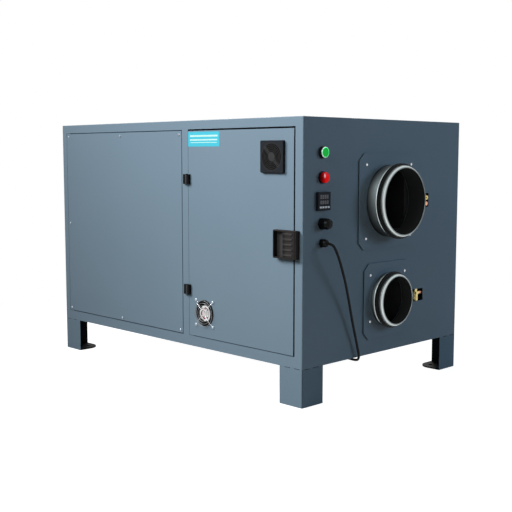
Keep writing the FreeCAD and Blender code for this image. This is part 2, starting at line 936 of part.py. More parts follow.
def filter_grille():
    """A snap-on cover: concentric slots between rings, crossed by one pair of diagonal bars."""
    half = grille_size / 2
    y0 = front - grille_proud
    cover = box(grille_x - half, grille_x + half, y0, front, grille_z - half, grille_z + half)
    cover = round_edges(cover, grille_corner_radius, along(Y))
    rim = [edge for edge in cover.Edges if all(abs(v.Y - y0) < 1e-6 for v in edge.Vertexes)]
    cover = cover.makeFillet(1.5, rim)
    hollow = half - grille_wall
    cover = cover.cut(box(
        grille_x - hollow, grille_x + hollow, y0 + grille_wall, front + 1,
        grille_z - hollow, grille_z + hollow,
    ))
    centre = V(grille_x, y0 - 1, grille_z)
    slots = []
    slot_width = grille_ring_pitch - grille_ring_width
    for k in range(grille_rings):
        inner = grille_disc_radius + grille_ring_pitch * k
        slots.append(tube(inner + slot_width, inner, centre, Y, grille_wall + 2))
    bars = []
    for offset in (-grille_bar_offset, grille_bar_offset):
        low = offset - grille_bar_width / 2
        bar = box(-half, half, 0, 10, low, low + grille_bar_width)
        bar.rotate(V(0, 0, 0), Y, 45)
        bar.translate(V(grille_x, y0 - 2, grille_z))
        bars.append(bar)
    return cover.cut(group(slots).cut(group(bars)))


def filter_mat():
    half = grille_size / 2 - grille_wall - seat_gap
    return box(
        grille_x - half, grille_x + half, front - mat_thickness, front, grille_z - half, grille_z + half,
    )


# ================================================================ ducts
def duct_plate(size):
    """A raised plate with cut corners and a slightly thicker middle."""

    def cornered(width, height, chamfer, thickness, x):
        w = width / 2
        h = height / 2
        outline = [
            (w, h - chamfer), (w - chamfer, h), (-w + chamfer, h), (-w, h - chamfer),
            (-w, -h + chamfer), (-w + chamfer, -h), (w - chamfer, -h), (w, -h + chamfer),
        ]
        points = [V(x, duct_y + y, size["height"] + z) for y, z in outline]
        return prism(points, X * thickness)

    start = collar_flange_thickness
    plate = cornered(
        size["plate_width"], size["plate_height"], duct_plate_chamfer, duct_plate_thickness, start,
    )
    centre = V(0, duct_y, size["height"])
    bore = rod(size["outer_radius"] + fit_gap, centre, X, 20)
    raised = tube(
        size["outer_radius"] + 9, size["outer_radius"] + fit_gap,
        centre + X * start, X, duct_plate_thickness + duct_plate_pad,
    )
    gasket = cornered(
        size["plate_width"] - 2, size["plate_height"] - 2, duct_plate_chamfer, collar_flange_thickness, 0,
    )
    flange_space = rod(size["outer_radius"] + collar_flange_width + fit_gap, centre - X, X, 20)
    holes = [screw_hole(seat, X * -1) for seat in duct_screw_seats(size)]
    return cut(plate.fuse(raised).cut(bore), holes), cut(gasket.cut(flange_space), holes)


def duct_collar(size):
    """A spigot: rear flange, plain tube, stop bead, and a mouth that is rolled inwards."""
    outer = size["outer_radius"]
    inner = outer - collar_wall
    mouth = size["mouth"]
    shoulder = mouth - nose_length
    centre = V(0, duct_y, size["height"])

    def at(x, radius):
        return V(x, duct_y, size["height"] + radius)

    def arc(a, b, c):
        return Part.Arc(at(*a), at(*b), at(*c)).toShape()

    def line(a, b):
        return Part.LineSegment(at(*a), at(*b)).toShape()

    tip = outer - nose_drop
    outer_bulge = (shoulder + nose_length * 0.62, outer - nose_drop * 0.28)
    inner_bulge = (shoulder + nose_length * 0.55, outer - nose_drop * 0.52 - collar_wall)
    bead = size["bead"]
    flange_radius = outer + collar_flange_width
    edges = [
        line((0, inner), (0, flange_radius)),
        line((0, flange_radius), (collar_flange_thickness, flange_radius)),
        line((collar_flange_thickness, flange_radius), (collar_flange_thickness, outer)),
        line((collar_flange_thickness, outer), (bead - bead_radius, outer)),
        arc((bead - bead_radius, outer), (bead, outer + bead_radius), (bead + bead_radius, outer)),
        line((bead + bead_radius, outer), (shoulder, outer)),
        arc((shoulder, outer), outer_bulge, (mouth - 0.8, tip + 0.8)),
        arc((mouth - 0.8, tip + 0.8), (mouth, tip - 0.6), (mouth - 1.2, tip - 1.6)),
        arc((mouth - 1.2, tip - 1.6), inner_bulge, (shoulder, inner)),
        line((shoulder, inner), (0, inner)),
    ]
    return Part.Face(Part.Wire(edges)).revolve(centre, X, 360)


def lip_seal(size):
    """A rubber band round the collar with two raked lips."""
    inner = size["outer_radius"] + 0.05
    base = inner + seal_base
    lip = size["outer_radius"] + seal_lip
    start = size["seal"]
    pitch = (seal_length - 2.0) / 2
    outline = [(start, inner), (start, base)]
    for k in range(2):
        x = start + 0.6 + pitch * k
        outline += [(x + 1.5, base), (x, lip), (x + 1.2, lip), (x + 3.4, base)]
    outline += [(start + seal_length, base), (start + seal_length, inner)]
    return revolve(outline, V(0, duct_y, size["height"]), X)


# ================================================================ controls
def gland_barrel(radius):
    return radius * 0.64


def button_bezel():
    """Switch body: flange, bright collar, threaded barrel behind the wall and the contact block."""
    centre = V(0, control_y, button_z)
    flange = rod(control_flange_radius, centre, X, control_flange_thickness)
    collar = rod(bezel_radius, centre, X, bezel_proud)
    rims = [e for e in collar.Edges if all(abs(v.X - bezel_proud) < 1e-6 for v in e.Vertexes)]
    collar = collar.makeFillet(bezel_round, rims)
    barrel = rod(control_barrel_radius, centre - X * control_depth, X, control_depth)
    half = contact_block / 2
    block = box(
        -control_depth - 28, -control_depth, control_y - half, control_y + half,
        button_z - half, button_z + half,
    )
    nut = hexagon(15, centre - X * (sheet + 4), X, 4)
    cuts = [
        rod(cap_radius + slide_clearance, centre + X * (cap_bottom - cap_travel - 0.2), X, 30),
        rod(cap_stem_radius + slide_clearance, centre - X * 14, X, 30),
    ]
    return cut(fuse([flange, collar, barrel, block, nut]), cuts)


def button_cap():
    centre = V(0, control_y, button_z)
    cap = rod(cap_radius, centre + X * cap_bottom, X, bezel_proud - 0.4 - cap_bottom)
    rim = [e for e in cap.Edges if all(abs(v.X - bezel_proud + 0.4) < 1e-6 for v in e.Vertexes)]
    cap = cap.makeFillet(0.8, rim)
    return cap.fuse(rod(cap_stem_radius, centre - X * 8, X, cap_bottom + 8.5))


def pilot_lamp_body():
    centre = V(0, control_y, lamp_z)
    flange = rod(control_flange_radius, centre, X, control_flange_thickness + 1)
    barrel = rod(control_barrel_radius, centre - X * control_depth, X, control_depth)
    nut = hexagon(15, centre - X * (sheet + 4), X, 4)
    return fuse([flange, barrel, nut])


def pilot_lamp_lens():
    """A lens with a long skirt and a slightly domed, well rounded face."""
    start = control_flange_thickness + 1
    sphere_radius = (lens_radius ** 2 + lens_rise ** 2) / (2 * lens_rise)
    body = rod(lens_radius, V(start, control_y, lamp_z), X, lens_proud - start)
    rim = [e for e in body.Edges if all(abs(v.X - lens_proud) < 1e-6 for v in e.Vertexes)]
    body = body.makeFillet(lens_round, rim)
    return body.common(Part.makeSphere(sphere_radius, V(lens_proud - sphere_radius, control_y, lamp_z)).fuse(
        rod(lens_radius + 1, V(start, control_y, lamp_z), X, lens_proud - lens_rise - start)
    ))


def key_places():
    return [controller_y + key_pitch * (k - 1.5) for k in range(4)]


def controller_key(y):
    x0 = controller_proud - key_depth + key_travel + 0.3
    key = box(
        x0, controller_proud + key_proud, y - key_width / 2, y + key_width / 2,
        controller_z - key_drop - key_height / 2, controller_z - key_drop + key_height / 2,
    )
    return round_edges(key, 0.5, along(X))


def controller_case():
    """A panel controller: square bezel with two recessed display windows and pockets for its keys."""
    half = controller_size / 2
    y = controller_y
    z = controller_z
    bezel = box(0, controller_proud, y - half, y + half, z - half, z + half)
    bezel = round_edges(bezel, 2.0, along(X))
    rim = [e for e in bezel.Edges if all(abs(v.X - controller_proud) < 1e-6 for v in e.Vertexes)]
    bezel = bezel.makeFillet(1.0, rim)
    body_half = controller_body / 2
    body = box(-controller_depth, 0, y - body_half, y + body_half, z - body_half, z + body_half)
    windows = [
        box(controller_proud - 0.8, controller_proud + 1, y - 18, y + 18, z + 5.5, z + 17.5),
        box(controller_proud - 0.8, controller_proud + 1, y - 18, y + 18, z - 8.0, z + 2.5),
    ]
    grow = 0.15
    pockets = []
    for place in key_places():
        pockets.append(box(
            controller_proud - key_depth, controller_proud + 1,
            place - key_width / 2 - grow, place + key_width / 2 + grow,
            z - key_drop - key_height / 2 - grow, z - key_drop + key_height / 2 + grow,
        ))
    return cut(fuse([bezel, body]), windows + pockets)


def gland(radius, z, proud, nose_radius):
    """A cable gland: hexagon, dome nut, and a barrel with its lock nut behind the wall."""
    centre = V(0, control_y, z)
    base = hexagon(radius, centre, X, proud * 0.26)
    outline = [
        (proud * 0.26, 0), (proud * 0.26, radius * 0.86), (proud * 0.62, radius * 0.86),
        (proud * 0.84, radius * 0.74), (proud * 0.96, nose_radius + 1.0), (proud, nose_radius), (proud, 0),
    ]
    dome = revolve(outline, centre, X)
    barrel = rod(gland_barrel(radius), centre - X * 12, X, 12)
    lock_nut = hexagon(radius * 0.95, centre - X * (sheet + 4), X, 4)
    return fuse([base, dome, barrel, lock_nut])


# ================================================================ cooling coil connections
def bent_pipe(points, radius, bend):
    """A round pipe along straight runs joined by equal bends."""
    edges = []
    start = points[0]
    for before, corner, after in zip(points, points[1:], points[2:]):
        into = (corner - before).normalize()
        away = (after - corner).normalize()
        turn = into.getAngle(away)
        trim = bend * math.tan(turn / 2)
        first = corner - into * trim
        last = corner + away * trim
        inward = (away - into).normalize()
        middle = corner + inward * (bend / math.cos(turn / 2) - bend)
        edges.append(Part.LineSegment(start, first).toShape())
        edges.append(Part.Arc(first, middle, last).toShape())
        start = last
    edges.append(Part.LineSegment(start, points[-1]).toShape())
    path = Part.Wire(edges)
    heading = (points[1] - points[0]).normalize()
    section = Part.Wire([Part.makeCircle(radius, points[0], heading)])
    return path.makePipeShell([section], True, False)


coil_face = rotor_x + cassette_half_depth + coil_depth
port_pipe_end = half_length + 0.5


def pipe_routes():
    """Upper return, upper bleed and lower feed, each from the coil's face to its cut-out."""
    upper_y = upper_port[1] - 10.0
    start_y = coil_right - 15.0
    upper_copper = upper_port[2] + 9.8
    upper_brass = upper_port[3] - 13.0
    feed_y = coil_right - coil_joint_inset - coil_bend_cover / 2 + 2.0
    feed_z = (lower_port[2] + lower_port[3]) / 2 - 5.0
    return {
        "return": [
            V(coil_face, start_y, upper_copper), V(coil_face + 40, start_y, upper_copper),
            V(coil_face + 90, upper_y, upper_copper), V(port_pipe_end, upper_y, upper_copper),
        ],
        "bleed": [
            V(coil_face, start_y, upper_brass), V(coil_face + 40, start_y, upper_brass),
            V(coil_face + 90, upper_y, upper_brass), V(port_pipe_end - 14, upper_y, upper_brass),
        ],
        "feed": [
            V(coil_face, feed_y, coil_low + 20), V(coil_face + 45, feed_y, coil_low + 20),
            V(coil_face + 45, feed_y, feed_z), V(coil_face + 170, valve_y, feed_z),
            V(valve_x - valve_pipe_gap, valve_y, feed_z),
        ],
    }


valve_x = half_length - valve_depth
valve_y = lower_port[0] + valve_inset
valve_low = lower_port[2] - 1.0
stub_z = lower_port[3] - stub_drop


def coil_pipes():
    pipes = [bent_pipe(route, pipe_radius, pipe_bend) for route in pipe_routes().values()]
    stub = rod(stub_radius, V(valve_x, valve_y + valve_radius + 0.5, stub_z), Y, valve_inset)
    return group(pipes + [stub])


def coil_fittings():
    """A capped flare on the bleed pipe, and a hexagonal valve body on the feed pipe."""
    routes = pipe_routes()
    bleed_end = routes["bleed"][-1]
    flare = fuse([
        hexagon(flare_nut_radius, bleed_end, X, flare_nut_length),
        rod(flare_cap_radius, bleed_end + X * flare_nut_length, X, flare_cap_length),
        rod(
            flare_tip_radius, bleed_end + X * (flare_nut_length + flare_cap_length),
            X, flare_tip_radius,
        ),
    ])
    centre = V(valve_x, valve_y, valve_low)
    valve = fuse([
        hexagon(valve_radius, centre, Z, valve_height),
        rod(valve_neck_radius, centre + Z * valve_height, Z, valve_neck_height),
        rod(pipe_radius + socket_wall, routes["feed"][-1], X, valve_pipe_gap),
        rod(stub_radius + socket_wall, V(valve_x, valve_y, stub_z), Y, valve_radius + 0.5),
        rod(
            valve_stem_radius, V(valve_x, valve_y - valve_stem_drop, stub_z),
            X, valve_depth - socket_wall,
        ),
    ])
    return group([flare, valve])


def cooling_coil():
    """A finned block in a sheet casing, with its end plates a little deeper than the fins."""
    x0 = rotor_x + cassette_half_depth
    block = box(
        x0 + 4, coil_face - 4, coil_left + coil_header, coil_right - coil_header,
        coil_low + 2, coil_high - 2,
    )
    grooves = []
    count = 24
    pitch = (coil_right - coil_left - 2 * coil_header) / count
    for k in range(1, count):
        y = coil_left + coil_header + pitch * k
        grooves.append(box(coil_face - 16, coil_face, y - 3, y + 3, coil_low + 6, coil_high - 6))
    block = cut(block, grooves)
    plates = [
        box(x0, coil_face, coil_left, coil_left + coil_header, coil_low, coil_high),
        box(x0, coil_face, coil_right - coil_bend_cover, coil_right, coil_low, coil_high),
        box(x0, coil_face, coil_left, coil_right, coil_low, coil_low + 2),
        box(x0, coil_face, coil_left, coil_right, coil_high - 2, coil_high),
        box(
            x0, coil_face, coil_right - coil_joint_inset - coil_bend_cover, coil_right - coil_joint_inset,
            coil_low, coil_low + coil_joint_height,
        ),
    ]
    return fuse([block] + plates)


# ================================================================ electrics bay
def electrics_partition():
    """The wall that keeps the air side apart from the electrics, with its front return."""
    far = inner_x - sheet
    wall = box(partition_x, far, partition_y, partition_y + sheet, floor_top, wall_top)
    side = box(
        partition_x, partition_x + sheet, -inner_y + sheet, partition_y + sheet, floor_top, wall_top,
    )
    return fuse([wall, side])


def electrics_plate():
    y1 = partition_y - stand_off
    plate = box(plate_left, plate_right, y1 - sheet, y1, plate_low, plate_high)
    posts = []
    for x in (plate_left + 15, plate_right - 15):
        for z in (plate_low + 15, plate_high - 15):
            posts.append(rod(5, V(x, y1, z), Y, stand_off))
    return fuse([plate] + posts)


def rail(z):
    """A top-hat rail along the mounting plate."""
    y1 = partition_y - stand_off - sheet
    left = plate_left + rail_inset
    right = plate_right - rail_inset
    waist = rail_waist / 2
    half = rail_width / 2
    foot = box(left, right, y1 - rail_steel, y1, z - waist, z + waist)
    face = box(left, right, y1 - rail_depth, y1 - rail_depth + rail_steel, z - half, z + half)
    webs = [
        box(left, right, y1 - rail_depth, y1, z - waist - rail_steel, z - waist),
        box(left, right, y1 - rail_depth, y1, z + waist, z + waist + rail_steel),
    ]
    return fuse([foot, face] + webs)


def stepped_device(x0, x1, z_middle, size, nose):
    """A rail-mounted device: a deep body with a narrower nose that the switch or label is on."""
    y1 = partition_y - stand_off - sheet - rail_depth
    solids = []
    for height, depth in (size, nose):
        solids.append(box(x0, x1, y1 - depth, y1, z_middle - height / 2, z_middle + height / 2))
    return solids[0].fuse(solids[1]).removeSplitter()


def rail_devices():
    """Two rails with circuit breakers, contactors, a supply unit, terminals and relays."""
    solids = []
    for z, kinds in zip(rail_heights, devices_on_rails):
        solids.append(rail(z))
        x = plate_left + device_inset
        for kind in kinds:
            for _ in range(kind["count"]):
                solids.append(stepped_device(x, x + kind["width"], z, kind["size"], kind["nose"]))
                x += kind["pitch"]
            x += device_gap
    return group(solids)


# ================================================================ desiccant rotor and its drive
cassette_left = rotor_x - cassette_half_depth
cassette_right = rotor_x + cassette_half_depth
pulley_y = pulley_offset
pulley_z = rotor_z + pulley_offset


def cassette_plate(x0):
    """A bulkhead across the cabinet, with a round window divided by three spokes."""
    wall = box(x0, x0 + sheet, -inner_y + sheet + 0.5, inner_y - sheet - 0.5, floor_top, wall_top)
    window = rod(cassette_opening, V(x0 - 1, 0, rotor_z), X, sheet + 2)
    hub = rod(rotor_hub_radius + 12, V(x0 - 2, 0, rotor_z), X, sheet + 4)
    spokes = []
    for angle in (0, 135, 225):
        spoke = box(x0 - 2, x0 + sheet + 2, -spoke_width / 2, spoke_width / 2, 0, cassette_opening + 5)
        spoke.rotate(V(0, 0, 0), X, angle)
        spoke.translate(V(0, 0, rotor_z))
        spokes.append(spoke)
    return wall.cut(window.cut(fuse([hub] + spokes)))


def rotor_cassette():
    """Two bulkheads, the square casing between them, and the fixed axle."""
    half = cassette_box
    casing = box(cassette_left, cassette_right, -half, half, rotor_z - half, rotor_z + half)
    casing = casing.cut(box(
        cassette_left - 1, cassette_right + 1, -half + sheet, half - sheet,
        rotor_z - half + sheet, rotor_z + half - sheet,
    ))
    axle = rod(axle_radius, V(cassette_left, 0, rotor_z), X, cassette_half_depth * 2)
    whole = fuse([cassette_plate(cassette_left), cassette_plate(cassette_right - sheet), casing, axle])
    return whole.cut(rod(pulley_shaft_radius + 1.5, V(cassette_right - 3, pulley_y, pulley_z), X, 6))


def rotor_wheel():
    """The desiccant wheel: a honeycomb drum in a steel rim, on a hub with a plain bore."""
    half = rotor_thickness / 2
    outline = [
        (-half - 6, axle_radius + pin_clearance), (-half - 6, rotor_hub_radius), (-half, rotor_hub_radius),
        (-half, rotor_radius - 3), (-half - 1.5, rotor_radius - 3), (-half - 1.5, rotor_radius),
        (half + 1.5, rotor_radius), (half + 1.5, rotor_radius - 3), (half, rotor_radius - 3),
        (half, rotor_hub_radius), (half + 6, rotor_hub_radius), (half + 6, axle_radius + pin_clearance),
    ]
    return revolve(outline, V(rotor_x, 0, rotor_z), X)


def belt_loop(radius_a, radius_b, grow):
    """The face inside a belt that is stretched round the wheel and the pulley, grown by a distance."""
    a = radius_a + grow
    b = radius_b + grow
    centre_a = V(0, 0, rotor_z)
    centre_b = V(0, pulley_y, pulley_z)
    line = centre_b - centre_a
    span = line.Length
    toward = V(line).normalize()
    side = X.cross(toward)
    lean = math.acos((a - b) / span)
    normals = [toward * math.cos(lean) + side * math.sin(lean) * s for s in (1, -1)]
    a1 = centre_a + normals[0] * a
    a2 = centre_a + normals[1] * a
    b1 = centre_b + normals[0] * b
    b2 = centre_b + normals[1] * b
    edges = [
        Part.Arc(a1, centre_a - toward * a, a2).toShape(),
        Part.LineSegment(a2, b2).toShape(),
        Part.Arc(b2, centre_b + toward * b, b1).toShape(),
        Part.LineSegment(b1, a1).toShape(),
    ]
    return Part.Face(Part.Wire(edges))


def drive_belt():
    outer = belt_loop(rotor_radius, pulley_radius, belt_gap + belt_thickness).extrude(X * belt_width)
    inner = belt_loop(rotor_radius, pulley_radius, belt_gap).extrude(X * (belt_width + 2))
    outer.translate(V(rotor_x - belt_width / 2, 0, 0))
    inner.translate(V(rotor_x - belt_width / 2 - 1, 0, 0))
    return outer.cut(inner)


def drive_pulley():
    """The pulley and the shaft that it is keyed to, which runs in the gear motor."""
    half = pulley_width / 2
    rim = rod(pulley_radius, V(rotor_x - half, pulley_y, pulley_z), X, pulley_width)
    shaft = rod(
        pulley_shaft_radius, V(rotor_x - half, pulley_y, pulley_z), X,
        cassette_right + 18 - rotor_x + half,
    )
    return fuse([rim, shaft])


def gear_motor():
    """A gearbox flange on the bulkhead, with the motor's round body behind it."""
    x0 = cassette_right
    x1 = x0 + gearbox_length
    half = gearbox_half
    gearbox = box(x0, x1, pulley_y - half, pulley_y + half, pulley_z - half, pulley_z + half)
    gearbox = round_edges(gearbox, gearbox_round, along(X))
    motor = rod(gear_motor_radius, V(x1, pulley_y, pulley_z), X, gear_motor_length)
    cap = rod(gear_motor_cap_radius, V(x1 + gear_motor_length, pulley_y, pulley_z), X, gear_motor_cap)
    bore = rod(
        pulley_shaft_radius + pin_clearance, V(x0 - 1, pulley_y, pulley_z), X, pulley_bore_depth,
    )
    return fuse([gearbox, motor, cap]).cut(bore)


# ================================================================ blowers
def scroll_face(blower, wall):
    """A scroll outline about the fan's axis: three quarter turns of growing radius, then the outlet."""
    start = blower["start_radius"]
    step = blower["step"]
    radii = [start + step * k + wall for k in range(3)]
    centres = [V(-step / 2, 0, -step / 2), V(-step / 2, 0, step / 2), V(step / 2, 0, step / 2)]
    tongue = V(centres[0].x + math.sqrt(radii[0] ** 2 - wall ** 2), 0, centres[0].z - wall)
    reach = blower["outlet"] - blower["x"]
    corners = [centres[0] - Z * radii[0], centres[1] - X * radii[1], centres[2] + Z * radii[2]]
    diagonal = math.sqrt(0.5)
    turns = [(X - Z, 0), (X * -1 - Z, 1), (X * -1 + Z, 2)]
    middles = [centres[k] + way * diagonal * radii[k] for way, k in turns]
    starts = [tongue] + corners[:2]
    edges = [Part.Arc(a, m, b).toShape() for a, m, b in zip(starts, middles, corners)]
    top_end = V(reach, 0, corners[2].z)
    low_end = V(reach, 0, tongue.z)
    edges.append(Part.LineSegment(corners[2], top_end).toShape())
    edges.append(Part.LineSegment(top_end, low_end).toShape())
    edges.append(Part.LineSegment(low_end, tongue).toShape())
    return Part.Face(Part.Wire(edges))


def outlet_rise(blower):
    """How far the middle of the outlet lies above the fan's axis."""
    low = -blower["step"] / 2
    high = blower["step"] / 2 + blower["start_radius"] + 2 * blower["step"]
    return (low + high) / 2


def blower_housing(blower, depth_below, down):
    """Scroll casing about the fan's axis, outlet towards +X, on feet that reach down * depth_below in Z."""
    half = blower["half_width"]
    outer_half = half + scroll_wall
    shell = scroll_face(blower, scroll_wall).extrude(Y * outer_half * 2)
    shell.translate(Y * -outer_half)
    hollow = scroll_face(blower, 0).extrude(Y * half * 2)
    hollow.translate(Y * -half)
    casing = shell.cut(hollow)
    reach = blower["outlet"] - blower["x"]
    rise = outlet_rise(blower)
    tall = (blower["start_radius"] + 3 * blower["step"]) / 2
    flange = box(
        reach - scroll_wall, reach, -outer_half - 24, outer_half + 24, rise - tall - 24, rise + tall + 24,
    )
    flange = flange.cut(box(reach - 9, reach + 9, -half, half, rise - tall, rise + tall))
    mouth = box(reach - 5, reach + 1, -half, half, rise - tall, rise + tall)
    feet = []
    knee = down * blower["start_radius"] * 0.8
    sole = down * depth_below
    for side in (-1, 1):
        y0, y1 = sorted((side * half, side * outer_half))
        feet.append(box(-70, 70, y0, y1, min(knee, sole), max(knee, sole)))
        y0, y1 = sorted((side * half, side * (outer_half + 16)))
        turned = sole - down * scroll_wall
        feet.append(box(-70, 70, y0, y1, min(turned, sole), max(turned, sole)))
    feet = fuse(feet).cut(shell)
    inlet = rod(blower["inlet_radius"], V(0, -outer_half - 1, 0), Y, scroll_wall + 2)
    shaft_hole = rod(blower_shaft_radius + 3, V(0, half - 1, 0), Y, scroll_wall + 2)
    return cut(fuse([casing, flange, feet]), [mouth, inlet, shaft_hole])


def blower_wheel(blower):
    """A centrifugal wheel: back plate, hub, curved blades and a front ring, with its shaft."""
    half = blower["half_width"]
    radius = blower["wheel_radius"]
    plate = rod(radius, V(0, half - 8, 0), Y, 2)
    ring = tube(radius, radius - blade_width, V(0, -half + 6, 0), Y, 2)
    hub = rod(18, V(0, half - 36, 0), Y, 30)
    shaft = rod(blower_shaft_radius, V(0, half - 36, 0), Y, 36 + scroll_wall + 38)
    width = 2 * half - 14
    inner = radius - blade_width
    blades = []
    for k in range(blower["blades"]):
        edges = []
        rims = []
        for offset in (0, blade_thickness):
            a = V(inner + 0.5, 0, offset)
            b = V((inner + radius) / 2, 0, offset + 4.5)
            c = V(radius - 1.0, 0, offset - 2.0)
            edges.append(Part.Arc(a, b, c).toShape())
            rims.append((a, c))
        edges.append(Part.LineSegment(rims[0][0], rims[1][0]).toShape())
        edges.append(Part.LineSegment(rims[0][1], rims[1][1]).toShape())
        blade = Part.Face(Part.Wire(Part.__sortEdges__(edges))).extrude(Y * width)
        blade.translate(Y * (-half + 7))
        blade.rotate(V(0, 0, 0), Y, 360 / blower["blades"] * k)
        blades.append(blade)
    return fuse([plate, ring, hub, shaft] + blades)


def blower_motor(blower):
    """A flange motor on the casing's drive side, with a plain bore for the wheel's shaft."""
    start = blower["half_width"] + scroll_wall
    flange = rod(blower["motor_radius"] + 12, V(0, start, 0), Y, 5)
    body = rod(blower["motor_radius"], V(0, start, 0), Y, blower["motor_length"])
    rim = [e for e in body.Edges if all(v.Y > start + 1 for v in e.Vertexes)]
    body = body.makeFillet(6, rim)
    bore = rod(blower_shaft_radius + pin_clearance, V(0, start - 1, 0), Y, 42)
    return fuse([flange, body]).cut(bore)


process_axis_z = large["height"] - outlet_rise(process_blower)
regen_axis_z = small["height"] + outlet_rise(regen_blower)


def place_process(shape):
    placed = shape.copy()
    placed.translate(V(process_blower["x"], 0, process_axis_z))
    return placed


def place_regen(shape):
    """The regeneration blower lies the other way round: outlet towards -X and low."""
    placed = shape.copy()
    placed.rotate(V(0, 0, 0), Y, 180)
    placed.translate(V(-regen_blower["x"], 0, regen_axis_z))
    return placed


# ================================================================ regeneration air duct
def heater_duct():
    """A rectangular duct from the small collar to the rotor's lower sector, on two stands."""
    half = heater_duct_half_width
    x0 = cassette_right
    x1 = inner_x - sheet
    wall = heater_duct_wall
    outer = box(x0, x1, -half, half, heater_duct_low, heater_duct_high)
    inner = box(
        x0 - 1, inner_x + 1, -half + wall, half - wall, heater_duct_low + wall, heater_duct_high - wall,
    )
    rim = heater_flange_width
    flange = box(x1, inner_x, -half - rim, half + rim, heater_duct_low - rim, heater_duct_high)
    stands = []
    span = half - heater_stand_margin
    for x in (x0 + heater_stand_insets[0], x1 - heater_stand_insets[1]):
        stands.append(box(x, x + heater_stand_sheet, -span, span, floor_top, heater_duct_low))
        stands.append(box(x, x + heater_stand_foot, -span, span, floor_top, floor_top + heater_stand_sheet))
    return fuse([outer, flange] + stands).cut(inner).cut(duct_screw_holes(small, 1))


def heater_elements():
    rods = []
    low = heater_duct_low + heater_duct_wall
    high = heater_duct_high - heater_duct_wall
    for x in heater_columns:
        for y in heater_rows:
            rods.append(rod(heater_rod_radius, V(x, y, low), Z, high - low))
    return group(rods)


# ================================================================ power cord
cord_route = [
    (half_length + cord_gland_proud, control_y, cord_gland_z),
    (584.5, control_y, cord_gland_z),
    (592.0, -268.5, 406.0),
    (588.0, -247.0, 370.0),
    (580.5, -222.0, 328.0),
    (571.5, -195.5, 275.0),
    (563.5, -171.0, 216.0),
    (560.0, -149.5, 160.0),
    (558.5, -137.5, 126.0),
    (557.5, -131.0, 107.0),
    (551.0, -127.5, 94.5),
    (535.0, -124.5, 92.0),
    (512.0, -121.0, 92.3),
    (485.0, -117.0, 92.5),
    (450.0, -111.5, 92.5),
    (415.0, -106.0, 92.0),
    (383.0, -101.0, 81.5),
    (354.0, -96.0, 57.0),
    (326.0, -89.0, 28.0),
    (297.0, -76.5, 8.5),
    (266.0, -59.0, cord_radius + cord_rest_gap),
    (236.0, -42.0, cord_radius + cord_rest_gap),
]
clipped = [V(*p) for p in cord_route if abs(p[2] - cord_run_height) < 1 and p[0] < cord_run_start]
cord_clips_at = [(a + b) * 0.5 for a, b in zip(clipped[::2], clipped[1::2])]


def cord_tube(route):
    """The free stretch of cord: straight runs with an arc at each point of the route."""
    points = [V(*p) for p in route]
    edges = []
    start = points[0]
    radii = []
    for before, corner, after in zip(points, points[1:], points[2:]):
        into = corner - before
        away = after - corner
        turn = into.getAngle(away)
        trim = 0.45 * min(into.Length, away.Length)
        radii.append(trim / math.tan(turn / 2))
        first = corner - into.normalize() * trim
        last = corner + away.normalize() * trim
        bend = (away - into).normalize()
        middle = corner + bend * (radii[-1] / math.cos(turn / 2) - radii[-1])
        edges.append(Part.LineSegment(start, first).toShape())
        edges.append(Part.Arc(first, middle, last).toShape())
        start = last
    edges.append(Part.LineSegment(start, points[-1]).toShape())
    path = Part.Wire(edges)
    heading = (points[1] - points[0]).normalize()
    section = Part.Wire([Part.makeCircle(cord_radius, points[0], heading)])
    solid = path.makePipeShell([section], True, False)
    expected = math.pi * cord_radius ** 2 * path.Length
    print("cord radii", [round(r, 1) for r in radii])
    print("cord length", round(path.Length, 1), "volume ratio", round(solid.Volume / expected, 4))
    return solid


def cord_clips():
    """Bridges under the floor pan that the cord lies in."""
    clips = []
    inner = cord_radius + cord_clip_room
    outer = inner + cord_clip_sheet
    for x, y, cord_z in cord_clips_at:
        z = cord_z + cord_clip_room - 0.4
        x0 = x - cord_clip_width / 2
        x1 = x + cord_clip_width / 2
        loop = tube(outer, inner, V(x0, y, z), X, cord_clip_width)
        loop = loop.cut(box(x0 - 1, x1 + 1, y - outer - 1, y + outer + 1, z, z + outer + 1))
        yoke = box(x0, x1, y - outer, y + outer, z, bottom)
        yoke = yoke.cut(box(x0 - 1, x1 + 1, y - inner, y + inner, z - 1, bottom + 1))
        clips.append(fuse([loop, yoke]))
    return clips


cord_end = V(*cord_route[-1])
cord_heading = (cord_end - V(*cord_route[-2])).normalize()
cord_right = V(cord_heading.y, -cord_heading.x, 0)
coil_tangent = cord_end + cord_heading * cord_coil_lead
coil_middle = coil_tangent + cord_right * cord_turn_radii[1]
coil_slack = 0.6
coil_outer = cord_turn_radii[1] + cord_radius + coil_slack
coil_inner = cord_turn_radii[0] - cord_radius - coil_slack
coil_height = 2 * cord_radius * cord_coil_layers + coil_slack


def cord_coil():
    """The coiled rest of the cord as one ring, with the two ends that leave it as tangents."""
    base = V(coil_middle.x, coil_middle.y, cord_end.z - cord_radius - cord_rest_gap / 2)
    ring = tube(coil_outer, coil_inner, base, Z, coil_height)
    lead_in = rod(cord_radius, cord_end, cord_heading, cord_coil_lead)
    lead_out = rod(cord_radius, plug_tangent, cord_heading, cord_plug_lead)
    return fuse([ring, lead_in, lead_out])


plug_tangent = coil_middle - cord_right * cord_turn_radii[1] + Z * 2 * cord_radius
plug_entry = plug_tangent + cord_heading * cord_plug_lead


